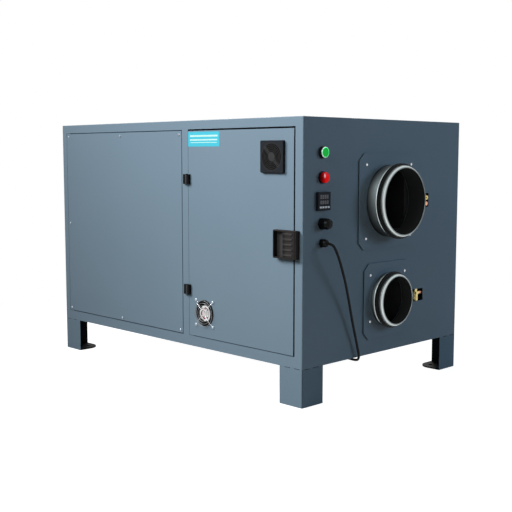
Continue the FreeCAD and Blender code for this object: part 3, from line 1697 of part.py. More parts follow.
def cord_plug():
    """A moulded plug with two round pins and earth clips, lying flat on the floor by the coil."""
    reach = 36.0
    body = Part.makeLoft(
        [
            Part.Wire([Part.makeCircle(cord_radius + 1.5, V(0, 0, 0), X)]),
            Part.Wire([Part.makeCircle(10.3, V(12, 0, 0), X)]),
            Part.Wire([Part.makeCircle(10.3, V(reach, 0, 0), X)]),
        ],
        True, True,
    )
    pins = [rod(2.4, V(reach - 1, side * 9.0 * 0.7, 0), X, 19) for side in (-1, 1)]
    plug = fuse([body] + pins)
    turn = math.degrees(math.atan2(cord_heading.y, cord_heading.x))
    plug.rotate(V(0, 0, 0), Z, turn)
    plug.translate(plug_entry)
    return plug


# ================================================================ writing
def write(name, shape):
    placed = shape.copy()
    placed.translate(V(0, shift_y, 0))
    placed.exportStep(f"parts/{name}.step")


def build():
    large_plate, large_gasket = duct_plate(large)
    small_plate, small_gasket = duct_plate(small)
    nodes = {
        "floor_pan": floor_pan(),
        "front_frame": front_frame(),
        "end_panel_right": end_panel_right(),
        "end_panel_left": end_panel_left(),
        "back_panel": back_panel(),
        "top_cover": top_cover(),
        "access_panel": access_panel(),
        "cabinet_screws": cabinet_screws(),
        "legs": group([leg(i, j) for i in (-1, 1) for j in (-1, 1)]),
        "duct_plates": group(both_ends(large_plate) + both_ends(small_plate)),
        "duct_gaskets": group(both_ends(large_gasket) + both_ends(small_gasket)),
        "duct_collars": group(both_ends(duct_collar(large)) + both_ends(duct_collar(small))),
        "duct_lip_seals": group(both_ends(lip_seal(large)) + both_ends(lip_seal(small))),
        "door_panel": door_panel(),
        "door_seal": door_seal(),
        "hinge_frame_leaves": group([hinge_leaf(z, -1) for z in hinge_heights]),
        "hinge_door_leaves": group([hinge_leaf(z, 1) for z in hinge_heights]),
        "hinge_pins": group([hinge_pin(z) for z in hinge_heights]),
        "latch_body": latch_body(),
        "latch_paddle": latch_paddle(),
        "latch_tongue": latch_tongue(),
        "door_fan_frame": door_fan_frame(),
        "door_fan_impeller": door_fan_impeller(),
        "door_fan_guard": door_fan_guard(),
        "door_fan_screws": door_fan_screws(),
        "filter_grille": filter_grille(),
        "filter_mat": filter_mat(),
        "button_bezel": to_right(button_bezel()),
        "button_cap": to_right(button_cap()),
        "pilot_lamp_body": to_right(pilot_lamp_body()),
        "pilot_lamp_lens": to_right(pilot_lamp_lens()),
        "controller_case": to_right(controller_case()),
        "blank_gland": to_right(gland(blank_gland_radius, blank_gland_z, blank_gland_proud, 6.0)),
        "cord_gland": to_right(gland(cord_gland_radius, cord_gland_z, cord_gland_proud, cord_radius + 1.2)),
        "coil_pipes": coil_pipes(),
        "coil_fittings": coil_fittings(),
        "cooling_coil": cooling_coil(),
        "electrics_partition": electrics_partition(),
        "electrics_plate": electrics_plate(),
        "rail_devices": rail_devices(),
        "rotor_cassette": rotor_cassette(),
        "rotor_wheel": rotor_wheel(),
        "drive_belt": drive_belt(),
        "drive_pulley": drive_pulley(),
        "gear_motor": gear_motor(),
        "process_blower_housing": place_process(
            blower_housing(process_blower, process_axis_z - floor_top, -1)
        ).cut(duct_screw_holes(large, 1)),
        "process_impeller": place_process(blower_wheel(process_blower)),
        "process_motor": place_process(blower_motor(process_blower)),
        "regen_blower_housing": place_regen(
            blower_housing(regen_blower, regen_axis_z - floor_top, 1)
        ).cut(duct_screw_holes(small, -1)),
        "regen_impeller": place_regen(blower_wheel(regen_blower)),
        "regen_motor": place_regen(blower_motor(regen_blower)),
        "heater_duct": heater_duct(),
        "heater_elements": heater_elements(),
        "power_cord": cord_tube(cord_route),
        "cord_coil": cord_coil(),
        "cord_plug": cord_plug(),
    }
    for number, y in enumerate(key_places(), start=1):
        nodes[f"controller_key_{number}"] = to_right(controller_key(y))
    os.makedirs("parts", exist_ok=True)
    triangles = 0
    for name, shape in nodes.items():
        solids = [s for s in shape.Solids]
        good = all(s.isValid() and s.isClosed() for s in solids)
        faces = len(shape.tessellate(0.5)[1])
        triangles += faces
        if not good or not solids:
            print("BAD", name)
        print(name, len(solids), round(shape.Volume / 1000, 2), faces)
        write(name, shape)
    print("nodes", len(nodes), "triangles", triangles, "shift", shift_y)


build()
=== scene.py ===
"""Looks, lights and camera for the ducted desiccant dehumidifier. Metres, in the CAD model's frame."""

import json
import math

import bmesh
import bpy
from mathutils import Euler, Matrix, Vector


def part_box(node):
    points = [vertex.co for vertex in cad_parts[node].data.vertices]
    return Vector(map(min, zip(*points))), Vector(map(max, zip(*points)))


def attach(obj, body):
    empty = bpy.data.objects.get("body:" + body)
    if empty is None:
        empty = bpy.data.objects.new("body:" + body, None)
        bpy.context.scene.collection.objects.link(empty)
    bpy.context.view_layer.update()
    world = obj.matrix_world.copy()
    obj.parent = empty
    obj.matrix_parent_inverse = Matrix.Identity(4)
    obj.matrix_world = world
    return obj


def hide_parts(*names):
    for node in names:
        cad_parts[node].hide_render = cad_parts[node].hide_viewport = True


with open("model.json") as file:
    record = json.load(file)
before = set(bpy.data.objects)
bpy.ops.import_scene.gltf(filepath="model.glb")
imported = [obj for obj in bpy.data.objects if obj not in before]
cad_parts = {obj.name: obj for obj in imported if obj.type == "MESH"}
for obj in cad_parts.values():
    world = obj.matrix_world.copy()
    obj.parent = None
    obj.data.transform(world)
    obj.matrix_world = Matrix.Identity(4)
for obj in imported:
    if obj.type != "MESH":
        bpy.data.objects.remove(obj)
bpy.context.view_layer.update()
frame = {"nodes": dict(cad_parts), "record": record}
MM = 0.001


# ================================================================ places taken from the frame
def middle(node):
    """The middle of a node's box."""
    low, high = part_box(node)
    return (low + high) / 2


cabinet_low, cabinet_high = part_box("top_cover")
mid_y = (cabinet_low.y + cabinet_high.y) / 2
front_y = cabinet_low.y
end_x = cabinet_high.x


def place(x, y, z):
    """A point in millimetres about the cabinet's middle, as the CAD source states it, in the frame."""
    return Vector((x * MM, y * MM + mid_y, z * MM))


def show(name, data):
    """A new object in the scene for a mesh, curve, lamp or camera."""
    made = bpy.data.objects.new(name, data)
    bpy.context.collection.objects.link(made)
    return made


# ================================================================ camera
camera_lens = 64.7
camera_sensor = 36.0
camera_spot = (2125.1, -2068.3, 653.4)
camera_dip = 6.236  # degrees below the horizon
camera_heading = 45.482  # degrees from +Y towards -X

camera_data = bpy.data.cameras.new("camera")
camera_data.lens = camera_lens
camera_data.sensor_width = camera_sensor
camera_data.clip_end = 60.0
camera = show("camera", camera_data)
camera.location = place(*camera_spot)
camera.rotation_euler = Euler((math.radians(90 - camera_dip), 0, math.radians(camera_heading)))
bpy.context.scene.camera = camera


# ================================================================ shader helpers
class Tree:
    """The nodes of a material or of the world, with short ways to make and wire them."""

    def __init__(self, owner):
        owner.use_nodes = True
        self.nodes = owner.node_tree.nodes
        self.links = owner.node_tree.links

    def feed(self, socket, value):
        """Links an output to a socket, or writes a value on it; a colour is given without its alpha."""
        if isinstance(value, bpy.types.NodeSocket):
            self.links.new(value, socket)
        elif socket.type == "RGBA":
            socket.default_value = (*value, 1.0)
        else:
            socket.default_value = value

    def add(self, kind, *first, operation=None, **named):
        """A new node whose first sockets, and those named, are fed in turn."""
        node = self.nodes.new("ShaderNode" + kind)
        if operation:
            node.operation = operation
        for socket, value in zip(node.inputs, first):
            self.feed(socket, value)
        for name, value in named.items():
            self.feed(node.inputs[name.replace("_", " ")], value)
        return node

    def math(self, operation, first, second=0.0):
        return self.add("Math", first, second, operation=operation).outputs[0]

    def both(self, mask, *others):
        """One where all the masks are one: their product."""
        for other in others:
            mask = self.math("MULTIPLY", mask, other)
        return mask

    def either(self, mask, *others):
        """The largest of the masks."""
        for other in others:
            mask = self.math("MAXIMUM", mask, other)
        return mask

    def apart(self, source, value):
        """How far a source is from a value, above or below it."""
        return self.math("ABSOLUTE", self.math("SUBTRACT", source, value))

    def ramp(self, source, low, high, at=(0.3, 0.7)):
        """Runs from low to high while the source runs between two limits, and is level outside them."""
        node = self.add("MapRange", Value=source, From_Min=at[0], From_Max=at[1], To_Min=low, To_Max=high)
        return node.outputs["Result"]

    def beyond(self, source, limit, soft=0.2 * MM):
        """A mask that is one where the source is above the limit."""
        return self.ramp(source, 0.0, 1.0, (limit - soft, limit + soft))

    def within(self, source, limit, soft=0.2 * MM):
        """A mask that is one where the source is below the limit."""
        return self.ramp(source, 1.0, 0.0, (limit - soft, limit + soft))

    def mix(self, factor, first, second, blend="MIX"):
        """The first colour where the factor is zero, and the second where it is one."""
        node = self.nodes.new("ShaderNodeMix")
        node.data_type = "RGBA"
        node.blend_type = blend
        for k, value in ((0, factor), (6, first), (7, second)):
            self.feed(node.inputs[k], value)
        return node.outputs[2]

    def tinted(self, color, tint):
        """A colour multiplied by another."""
        return self.mix(1.0, color, tint, "MULTIPLY")


class Look(Tree):
    """A material with one principled shader, and the patterns that are wired into it."""

    def __init__(self, name, color, metallic=0.0, roughness=0.5, specular=0.5):
        self.material = bpy.data.materials.new(name)
        super().__init__(self.material)
        self.place = self.add("TexCoord").outputs["Object"]
        self.set(Base_Color=color, Metallic=metallic, Roughness=roughness, Specular_IOR_Level=specular)

    def set(self, **named):
        """Feeds sockets of the principled shader."""
        shader = self.nodes["Principled BSDF"]
        for name, value in named.items():
            self.feed(shader.inputs[name.replace("_", " ")], value)

    def paint(self, source):
        self.set(Base_Color=source)

    def rough(self, source):
        self.set(Roughness=source)

    def metal(self, source):
        self.set(Metallic=source)

    def bump(self, height, depth, strength):
        """Relief in the shading, with its depth in millimetres."""
        node = self.add("Bump", Height=height, Distance=depth * MM, Strength=strength)
        self.set(Normal=node.outputs["Normal"])

    def gloss(self, scale, low, high):
        """Uneven roughness between two values."""
        self.rough(self.ramp(self.noise(scale), low, high))

    def grain(self, scale, depth, strength, detail=3.0):
        """An even texture in relief."""
        self.bump(self.noise(scale, detail), depth, strength)

    def noise(self, scale, detail=3.0, roughness=0.5, stretch=None):
        """Cloudy noise, finer along the axes where the stretch is large."""
        vector = self.place
        if stretch:
            vector = self.add("Mapping", Vector=self.place, Scale=stretch).outputs["Vector"]
        texture = self.add("TexNoise", Vector=vector, Scale=scale, Detail=detail, Roughness=roughness)
        return texture.outputs["Fac"]

    def cells(self, scale):
        """The distance to the nearest of many scattered points."""
        return self.add("TexVoronoi", Vector=self.place, Scale=scale).outputs["Distance"]

    def speckle(self, low):
        """Patchy noise, from a low value to one."""
        return self.ramp(self.noise(140.0), low, 1.0)

    def painted_light_patches(self, mask, base, highlighted):
        """Lightens in patches what the mask picks out, as painted light."""
        return self.mix(self.both(mask, self.speckle(0.75)), base, highlighted)

    def axis(self, name):
        """One coordinate of the place that is shaded."""
        return self.add("SeparateXYZ", self.place).outputs[name]

    def from_line(self, point, across):
        """How far a place is from a line through a point; across is 0 along the line and 1 elsewhere."""
        away = self.add("VectorMath", self.place, point, operation="SUBTRACT")
        flat = self.add("VectorMath", away.outputs[0], across, operation="MULTIPLY")
        return self.add("VectorMath", flat.outputs[0], operation="LENGTH").outputs["Value"]

    def from_middle_x(self):
        """How far a place is from the plane through the cabinet's middle, along its length."""
        return self.apart(self.axis("X"), 0.0)


# ================================================================ paint and sheet metal
paint_blue = (0.168, 0.232, 0.290)
paint_roughness = 0.46


def powder_coat(look):
    """The surface of the paint: uneven satin, and fine orange peel."""
    look.gloss(9.0, 0.42, 0.51)
    look.grain(620.0, 0.12, 0.35, detail=2.0)


def seam(look, node, outside, inside, start, end):
    """One along the seam round a node of the front.

    It reaches from inside the node's edge to outside it, and from start to end behind the front face, in
    millimetres.
    """
    low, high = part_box(node)
    across, up, back = look.axis("X"), look.axis("Z"), look.axis("Y")

    def grown(reach):
        return look.both(
            look.beyond(across, low.x - reach * MM), look.within(across, high.x + reach * MM),
            look.beyond(up, low.z - reach * MM), look.within(up, high.z + reach * MM),
        )

    return look.both(
        look.math("SUBTRACT", grown(outside), grown(-inside)),
        look.beyond(back, front_y + start * MM, 0.1 * MM), look.within(back, front_y + end * MM),
    )


def blue_paint():
    """Body paint: a slow drift of tone, with painted shade as dark edges round the door and panel, and as
    near-black seams behind them.
    """
    look = Look("blue_paint", paint_blue, roughness=paint_roughness, specular=0.10)
    drift = look.ramp(look.noise(1.7, 2.0), 0.0, 1.0)
    sheet = look.mix(drift, (0.161, 0.224, 0.282), (0.175, 0.240, 0.298))
    door_low, door_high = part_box("door_panel")
    panel_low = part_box("access_panel")[0]
    margin = 20.0 * MM
    # Painted shade: a dark line along the edges of the door and the access panel, leaving out the door's top
    # and left edges and the panel's left edge.
    door_edge_shade = look.both(
        seam(look, "door_panel", outside=1.8, inside=0.7, start=-0.4, end=0.4),
        look.within(look.axis("Z"), door_high.z - margin), look.beyond(look.axis("X"), door_low.x + margin),
    )
    panel_edge_shade = look.both(
        seam(look, "access_panel", outside=2.1, inside=1.0, start=-0.4, end=0.4),
        look.beyond(look.axis("X"), panel_low.x + margin),
    )
    # Painted shade: near black on the faces inside the seams behind the front.
    seam_shade = look.either(
        seam(look, "door_panel", outside=4.8, inside=0.3, start=0.5, end=7.0),
        seam(look, "access_panel", outside=1.5, inside=0.3, start=0.5, end=5.0),
    )
    edge_shaded = look.mix(look.either(door_edge_shade, panel_edge_shade), sheet, (0.050, 0.078, 0.108))
    look.paint(look.mix(seam_shade, edge_shaded, (0.008, 0.016, 0.026)))
    powder_coat(look)
    return look.material


def leg_paint():
    """Leg angles: body colour outside, and painted shade, near black, on the inner faces and the foot plates.
    """
    look = Look("leg_paint", paint_blue, roughness=paint_roughness, specular=0.02)
    skin = 0.6 * MM
    on_ends = look.beyond(look.from_middle_x(), end_x - skin)
    on_front_and_back = look.beyond(look.apart(look.axis("Y"), mid_y), mid_y - front_y - skin)
    outside = look.either(on_ends, on_front_and_back)
    # Painted shade: near black wherever a face is not on the outside of the legs.
    look.paint(look.mix(outside, (0.002, 0.0025, 0.004), (0.172, 0.238, 0.298)))
    powder_coat(look)
    return look.material


def galvanised():
    """Zinc-coated sheet with its spangle."""
    look = Look("galvanised_sheet", (0.42, 0.44, 0.45), 0.9, 0.45)
    spangle = look.ramp(look.cells(70.0), 0.0, 1.0, (0.0, 0.9))
    look.paint(look.mix(spangle, (0.34, 0.36, 0.37), (0.50, 0.52, 0.53)))
    look.gloss(40.0, 0.38, 0.56)
    look.grain(300.0, 0.1, 0.2)
    return look.material


# Each collar's outer radius, the height of its axis, and how far its bead and mouth are from the end wall.
ducts = (
    {"radius": 99.5, "height": 527.8, "bead": 37.0, "mouth": 62.0},
    {"radius": 74.5, "height": 250.8, "bead": 15.5, "mouth": 42.0},
)
bead_half_width = 2.2
nose_length = 6.0
collar_reach = 14.0  # how far outside its tube a place still takes a collar's tones


def collar_sheet():
    """Spigot steel, rougher on the tube and smoother on the bead and nose, with painted shade on the tube and
    in the bore, and painted highlights on the bead and nose.
    """
    look = Look("collar_sheet", (0.10, 0.11, 0.11), 1.0, 0.34)
    lines = look.noise(90.0, 4.0, 0.6, stretch=(30.0, 0.4, 0.4))
    out = look.from_middle_x()
    up = look.axis("Z")
    level = (0.4, 0.4, 0.4)
    bores = []
    polished = []
    for duct in ducts:
        radius, height = duct["radius"] * MM, duct["height"] * MM
        bead, mouth = end_x + duct["bead"] * MM, end_x + duct["mouth"] * MM
        behind_bead, past_bead = bead - bead_half_width * MM, bead + bead_half_width * MM
        away = look.from_line((0.0, mid_y, height), (0.0, 1.0, 1.0))
        near = look.within(away, radius + collar_reach * MM)
        nose = look.beyond(out, mouth - nose_length * MM, 0.8 * MM)
        rib = look.both(look.beyond(out, behind_bead), look.within(out, past_bead))
        # Painted shade on the tube: darker towards the wall, below the axis and near the top, and dark past
        # the bead; the bead rib and the nose are painted highlights, fading at the tip.
        wall_shade = look.ramp(out, 0.01, 0.86, (end_x + 3.0 * MM, bead))
        lower_shade = look.ramp(up, 0.14, 0.95, (height - 0.9 * radius, height + 0.4 * radius))
        shaded = look.ramp(up, 1.0, 0.45, (height + 0.45 * radius, height + 0.85 * radius))
        tube = look.mix(look.beyond(out, past_bead), look.both(wall_shade, lower_shade, shaded), (0.10, 0.10, 0.10))
        tip = look.ramp(out, 1.0, 0.16, (mouth - 3.4 * MM, mouth - 0.2 * MM))
        sheet = look.mix(nose, look.mix(rib, tube, (0.80, 0.80, 0.80)), tip)
        level = look.mix(near, level, sheet)
        polished.append(look.both(near, look.either(nose, rib)))
        # Painted shade: the bore is near black.
        bores.append(look.both(
            look.within(away, radius - 0.9 * MM), look.within(out, mouth - 4.5 * MM, 2.5 * MM),
        ))
    bore = look.either(*bores)
    spun = look.ramp(look.either(*polished), 0.52, 0.40, (0.0, 1.0))
    tint = look.mix(lines, (0.80, 0.93, 0.90), (0.97, 1.0, 1.0))
    look.paint(look.mix(bore, look.tinted(level, tint), (0.004, 0.005, 0.005)))
    look.metal(look.ramp(bore, 1.0, 0.0, (0.0, 1.0)))
    look.rough(look.either(spun, look.ramp(bore, 0.0, 0.75, (0.0, 1.0))))
    look.bump(lines, 0.08, 0.25)
    return look.material


def zinc_screws():
    """Plated screws: lighter on the end walls, darker and bluer on the front and back."""
    look = Look("zinc_screws", (0.62, 0.64, 0.67), 1.0, 0.28)
    on_ends = look.beyond(look.from_middle_x(), end_x)
    look.paint(look.mix(on_ends, (0.25, 0.29, 0.33), (0.53, 0.53, 0.55)))
    look.gloss(400.0, 0.20, 0.38)
    look.grain(1500.0, 0.05, 0.2)
    return look.material


def bright_steel():
    """Drawn steel: its lines give an uneven shine."""
    look = Look("bright_steel", (0.72, 0.73, 0.74), 1.0, 0.25)
    look.rough(look.ramp(look.noise(60.0, 4.0, 0.6, stretch=(1.0, 1.0, 12.0)), 0.18, 0.34))
    return look.material


def stained(name, color, roughness, scale, stain, clean, gloss):
    """Bare copper or brass, from stained to clean in clouds of a noise scale; gloss is as for plain."""
    look = Look(name, color, 1.0, roughness)
    look.paint(look.mix(look.ramp(look.noise(scale, 4.0), 0.0, 1.0), stain, clean))
    look.gloss(*gloss)
    return look.material


# ================================================================ surfaces of one colour
def plain(name, color, roughness, gloss, grain, metallic=0.0, specular=0.5):
    """One colour; gloss is a noise scale with two roughnesses, and grain a scale, a depth and a strength."""
    look = Look(name, color, metallic, roughness, specular)
    look.gloss(*gloss)
    look.grain(*grain)
    return look.material


def plated_wire(name, color, roughness):
    """Drawn wire or a screw with a bright, nearly even plating."""
    gloss = (300.0, roughness - 0.04, roughness + 0.05)
    return plain(name, color, roughness, gloss, (1200.0, 0.02, 0.2), metallic=1.0)


def sticker(name, color, roughness):
    """Printed film, or the glass and figures of a display."""
    gloss = (90.0, roughness - 0.06, roughness + 0.06)
    return plain(name, color, roughness, gloss, (900.0, 0.02, 0.2), specular=0.1)


def aluminium(name):
    """Cast or finned aluminium, grainy and half dull."""
    return plain(name, (0.50, 0.51, 0.52), 0.5, (200.0, 0.42, 0.62), (700.0, 0.2, 0.4), metallic=0.9)


# ================================================================ plastics, rubber and filter
def moulded(name, color, roughness=0.50, specular=0.08, grain=2400.0):
    """The look of a dark moulding: fine spark texture, uneven gloss, and little sheen."""
    look = Look(name, color, roughness=roughness, specular=specular)
    look.gloss(30.0, roughness - 0.06, roughness + 0.08)
    look.grain(grain, 0.06, 0.35, detail=2.0)
    return look


def paddle_plastic():
    """Latch paddle: painted shade darkening its left end, and painted highlights on the rib crests, brightest
    along a line near the top of each.
    """
    look = moulded("paddle_plastic", (0.032, 0.029, 0.028), specular=0.05)
    low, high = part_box("latch_paddle")
    rib_pitch = (high.z - low.z) / 5
    # Painted highlights: the rib crests lighter, and lightest along a line near the top of each.
    crest = look.within(look.axis("Y"), low.y + 0.5 * MM, 0.3 * MM)
    step = look.math("MODULO", look.math("SUBTRACT", look.axis("Z"), low.z), rib_pitch)
    line = look.within(look.apart(step, 0.6 * rib_pitch), 0.9 * MM, 0.5 * MM)
    ribbed = look.mix(crest, (0.032, 0.029, 0.028), (0.040, 0.036, 0.035))
    highlighted = look.painted_light_patches(look.both(crest, line), ribbed, (0.072, 0.067, 0.065))
    # Painted shade: darker towards the left end.
    left_end_shade = look.ramp(look.axis("X"), 0.30, 0.95, (low.x + 1.0 * MM, low.x + 15.0 * MM))
    look.paint(look.tinted(highlighted, left_end_shade))
    return look.material


def latch_plastic():
    """Latch case: the floor of its finger recess is painted lighter in patches, as painted light where it
    lies in shadow.
    """
    look = moulded("latch_plastic", (0.014, 0.0125, 0.0125), specular=0.05)
    recess_floor = look.beyond(look.axis("Y"), front_y - 2.6 * MM)
    look.paint(look.painted_light_patches(recess_floor, (0.024, 0.021, 0.020), (0.060, 0.055, 0.055)))
    return look.material


def hinge_plastic():
    """Hinge moulding: black, with a painted highlight in patches along the crest of the barrel."""
    look = moulded("black_hinge", (0.004, 0.004, 0.0045), 0.42, 0.05, 1300.0)
    crest = look.within(look.axis("Y"), front_y - 9.0 * MM, 0.4 * MM)
    look.paint(look.painted_light_patches(crest, (0.005, 0.005, 0.0055), (0.060, 0.062, 0.066)))
    return look.material


def grille_plastic():
    """Grille: painted shade, near black, in the slots; greyer in patches on the rings, and greyest on the
    disc and the bars.
    """
    look = moulded("grille_plastic", (0.022, 0.023, 0.026), specular=0.02)
    disc_radius, ring_radius, bar_reach = 12.6, 36.4, 5.4
    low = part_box("filter_grille")[0]
    centre = middle("filter_grille")
    away = look.from_line(centre, (1.0, 0.0, 1.0))
    ringed = look.within(away, ring_radius * MM)
    slots = look.beyond(look.axis("Y"), low.y + 0.35 * MM, 0.1 * MM)
    slope = look.apart(look.math("ADD", look.axis("X"), look.axis("Z")), centre.x + centre.z)
    disc_and_bars = look.either(look.within(slope, bar_reach * MM), look.within(away, disc_radius * MM))
    raised = look.mix(disc_and_bars, (0.031, 0.030, 0.031), (0.043, 0.042, 0.043))
    face = look.mix(ringed, (0.019, 0.021, 0.025), look.tinted(raised, look.speckle(0.80)))
    # Painted shade: near black on the faces behind the grille's front within the rings.
    look.paint(look.mix(look.both(ringed, slots), face, (0.0005, 0.0005, 0.0005)))
    return look.material


def bezel_plastic():
    """Switch body: black moulding with a plated ring, whose bore is painted green as a painted reflection of
    the green cap.
    """
    look = moulded("bezel_plastic", (0.010, 0.010, 0.011), 0.34, 0.25)
    plated = look.beyond(look.axis("X"), end_x + 9.2 * MM)
    # Painted reflection: green on the plated bore, inside the cap's edge.
    away = look.from_line(middle("button_cap"), (0.0, 1.0, 1.0))
    ring = look.mix(look.beyond(away, 13.2 * MM), (0.04, 0.46, 0.12), (0.55, 0.57, 0.57))
    look.paint(look.mix(plated, (0.010, 0.010, 0.011), ring))
    look.metal(plated)
    look.rough(look.ramp(plated, 0.36, 0.22, (0.0, 1.0)))
    return look.material


def filter_fleece():
    """Matted fibre: long thin noise, near black as painted shade behind the grille."""
    look = Look("filter_fleece", (0.008, 0.008, 0.008), roughness=0.95, specular=0.02)
    fibres = look.noise(260.0, 5.0, 0.7, stretch=(1.0, 1.0, 6.0))
    look.paint(look.mix(fibres, (0.002, 0.002, 0.002), (0.014, 0.013, 0.013)))
    look.bump(fibres, 0.6, 0.8)
    return look.material


def device_plastic():
    """Pale grey cases of the rail devices."""
    look = Look("device_plastic", (0.50, 0.51, 0.51), roughness=0.45)
    look.paint(look.mix(look.noise(18.0), (0.42, 0.43, 0.44), (0.58, 0.59, 0.58)))
    look.grain(1500.0, 0.05, 0.3)
    return look.material


def honeycomb():
    """Corrugated desiccant paper: a fine cell pattern across the drum's faces."""
    look = Look("desiccant_honeycomb", (0.62, 0.61, 0.56), roughness=0.85)
    cells = look.ramp(look.cells(330.0), 0.0, 1.0, (0.2, 0.55))
    look.paint(look.mix(cells, (0.20, 0.19, 0.17), (0.66, 0.65, 0.60)))
    look.bump(cells, 0.8, 0.8)
    return look.material


def green_cap():
    """Clear green moulding with a painted glow, so it looks faintly lit."""
    look = Look("green_cap", (0.004, 0.42, 0.040), roughness=0.30, specular=0.08)
    look.gloss(200.0, 0.26, 0.36)
    look.set(Emission_Color=(0.001, 0.40, 0.030), Emission_Strength=0.62)
    return look.material


def red_lens():
    """Moulded red lens of the pilot lamp, glowing: painted shade darkens one side of the skirt in colour and
    glow, and a pale painted highlight streaks the face.
    """
    look = Look("red_lens", (0.60, 0.004, 0.005), roughness=0.24, specular=0.05)
    centre = middle("pilot_lamp_lens")
    # Painted shade on one side of the skirt, and a painted highlight streak on the face.
    side = look.ramp(look.axis("Y"), 0.0, 1.0, (centre.y - 15.0 * MM, centre.y - 3.0 * MM))
    shade = look.both(side, look.beyond(look.axis("X"), end_x + 8.0 * MM, 4.0 * MM))
    streak = look.from_line((0.0, centre.y - 6.6 * MM, centre.z + 4.4 * MM), (0.0, 1.0, 0.50))
    face = look.beyond(look.axis("X"), end_x + 11.5 * MM, 0.8 * MM)
    lit = look.both(face, look.within(streak, 1.9 * MM, 1.7 * MM))
    prisms = look.mix(look.cells(900.0), (0.54, 0.003, 0.004), (0.70, 0.006, 0.008))
    look.paint(look.mix(lit, look.mix(shade, (0.05, 0.001, 0.001), prisms), (0.90, 0.62, 0.66)))
    glow = look.mix(shade, (0.014, 0.0, 0.0), (0.46, 0.001, 0.001))
    look.set(Emission_Color=look.mix(lit, glow, (0.74, 0.36, 0.40)), Emission_Strength=0.9)
    return look.material


# ================================================================ materials on the nodes
black_rubber = plain(
    "black_rubber", (0.006, 0.0065, 0.0065), 0.6, (80.0, 0.54, 0.68), (1200.0, 0.08, 0.35), specular=0.12,
)
black_cord = plain(
    "cord_sheath", (0.005, 0.0055, 0.006), 0.55, (150.0, 0.48, 0.62), (1600.0, 0.05, 0.3), specular=0.12,
)
chrome_wire = plated_wire("chrome_wire", (0.80, 0.81, 0.82), 0.14)

# By the material slot that the record gives a node.
materials = {
    "blue_paint": blue_paint(),
    "galvanised_steel": galvanised(),
    # Near black, as painted shade on the housings seen through the duct mouths.
    "dark_coated_steel": plain(
        "dark_coated_steel", (0.010, 0.011, 0.011), 0.62, (25.0, 0.55, 0.72), (500.0, 0.1, 0.3), metallic=0.1,
    ),
    "zinc_screws": zinc_screws(),
    "black_hinge": hinge_plastic(),
    "zinc_sheet": collar_sheet(),
    "bright_steel": bright_steel(),
    "chrome_wire": chrome_wire,
    "black_rubber": black_rubber,
    "black_cord": black_cord,
    "black_plastic": moulded("black_plastic", (0.014, 0.0125, 0.0125)).material,
    "dark_plastic": moulded("dark_plastic", (0.007, 0.009, 0.014), 0.40, 0.07, 1800.0).material,
    "black_nylon": moulded("black_nylon", (0.003, 0.0035, 0.004), 0.30, 0.10, 900.0).material,
    "filter_fleece": filter_fleece(),
    "green_plastic": green_cap(),
    "red_lens": red_lens(),
    "pale_key": plain("pale_key", (0.90, 0.91, 0.95), 0.5, (500.0, 0.42, 0.56), (2500.0, 0.03, 0.3)),
    "copper": stained(
        "copper_tube", (0.72, 0.34, 0.20), 0.32, 45.0, (0.58, 0.25, 0.14), (0.80, 0.42, 0.27),
        gloss=(90.0, 0.24, 0.42),
    ),
    "brass": stained(
        "brass_fitting", (0.66, 0.52, 0.20), 0.28, 70.0, (0.52, 0.42, 0.16), (0.76, 0.64, 0.28),
        gloss=(120.0, 0.20, 0.36),
    ),
    "aluminium_fins": aluminium("aluminium_fins"),
    "aluminium_part": aluminium("cast_aluminium"),
    "device_plastic": device_plastic(),
    "desiccant_honeycomb": honeycomb(),
}

# By node, for the ones that look unlike the rest of their slot.
own_materials = {
    "latch_paddle": paddle_plastic(),
    "latch_body": latch_plastic(),
    "filter_grille": grille_plastic(),
    "button_bezel": bezel_plastic(),
    "legs": leg_paint(),
    "door_fan_screws": plated_wire("dull_screws", (0.34, 0.39, 0.42), 0.34),
}

for entry in frame["record"]["subparts"]:
    node = frame["nodes"][entry["node"]]
    for slot in node.material_slots:
        slot.link = "OBJECT"
        slot.material = own_materials.get(entry["node"], materials[entry["material_slot"]])


# ================================================================ mesh and curve helpers
def add_mesh(name, build, material, body):
    """A new piece whose bmesh is filled by build, in a material, on a body."""
    mesh = bpy.data.meshes.new(name)
    form = bmesh.new()
    build(form)
    bmesh.ops.recalc_face_normals(form, faces=form.faces)
    form.to_mesh(mesh)
    form.free()
    mesh.materials.append(material)
    piece = show(name, mesh)
    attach(piece, body)


def slab(form, low, high):
    """An axis-aligned block between two corners."""
    for vertex in bmesh.ops.create_cube(form, size=1.0)["verts"]:
        vertex.co = [a if v < 0 else b for v, a, b in zip(vertex.co, low, high)]


def round_curve(name, radius, facets, material):
    """A curve whose splines become round wires or cords."""
    curve = bpy.data.curves.new(name, "CURVE")
    curve.dimensions = "3D"
    curve.bevel_depth = radius
    curve.bevel_resolution = facets
    curve.use_fill_caps = True
    curve.materials.append(material)
    return curve


def add_spline(curve, kind, points):
    """A new spline through, or drawn by, a list of points."""
    spline = curve.splines.new(kind)
    spline.points.add(len(points) - 1)
    for control, point in zip(spline.points, points):
        control.co = (*point, 1.0)
    return spline


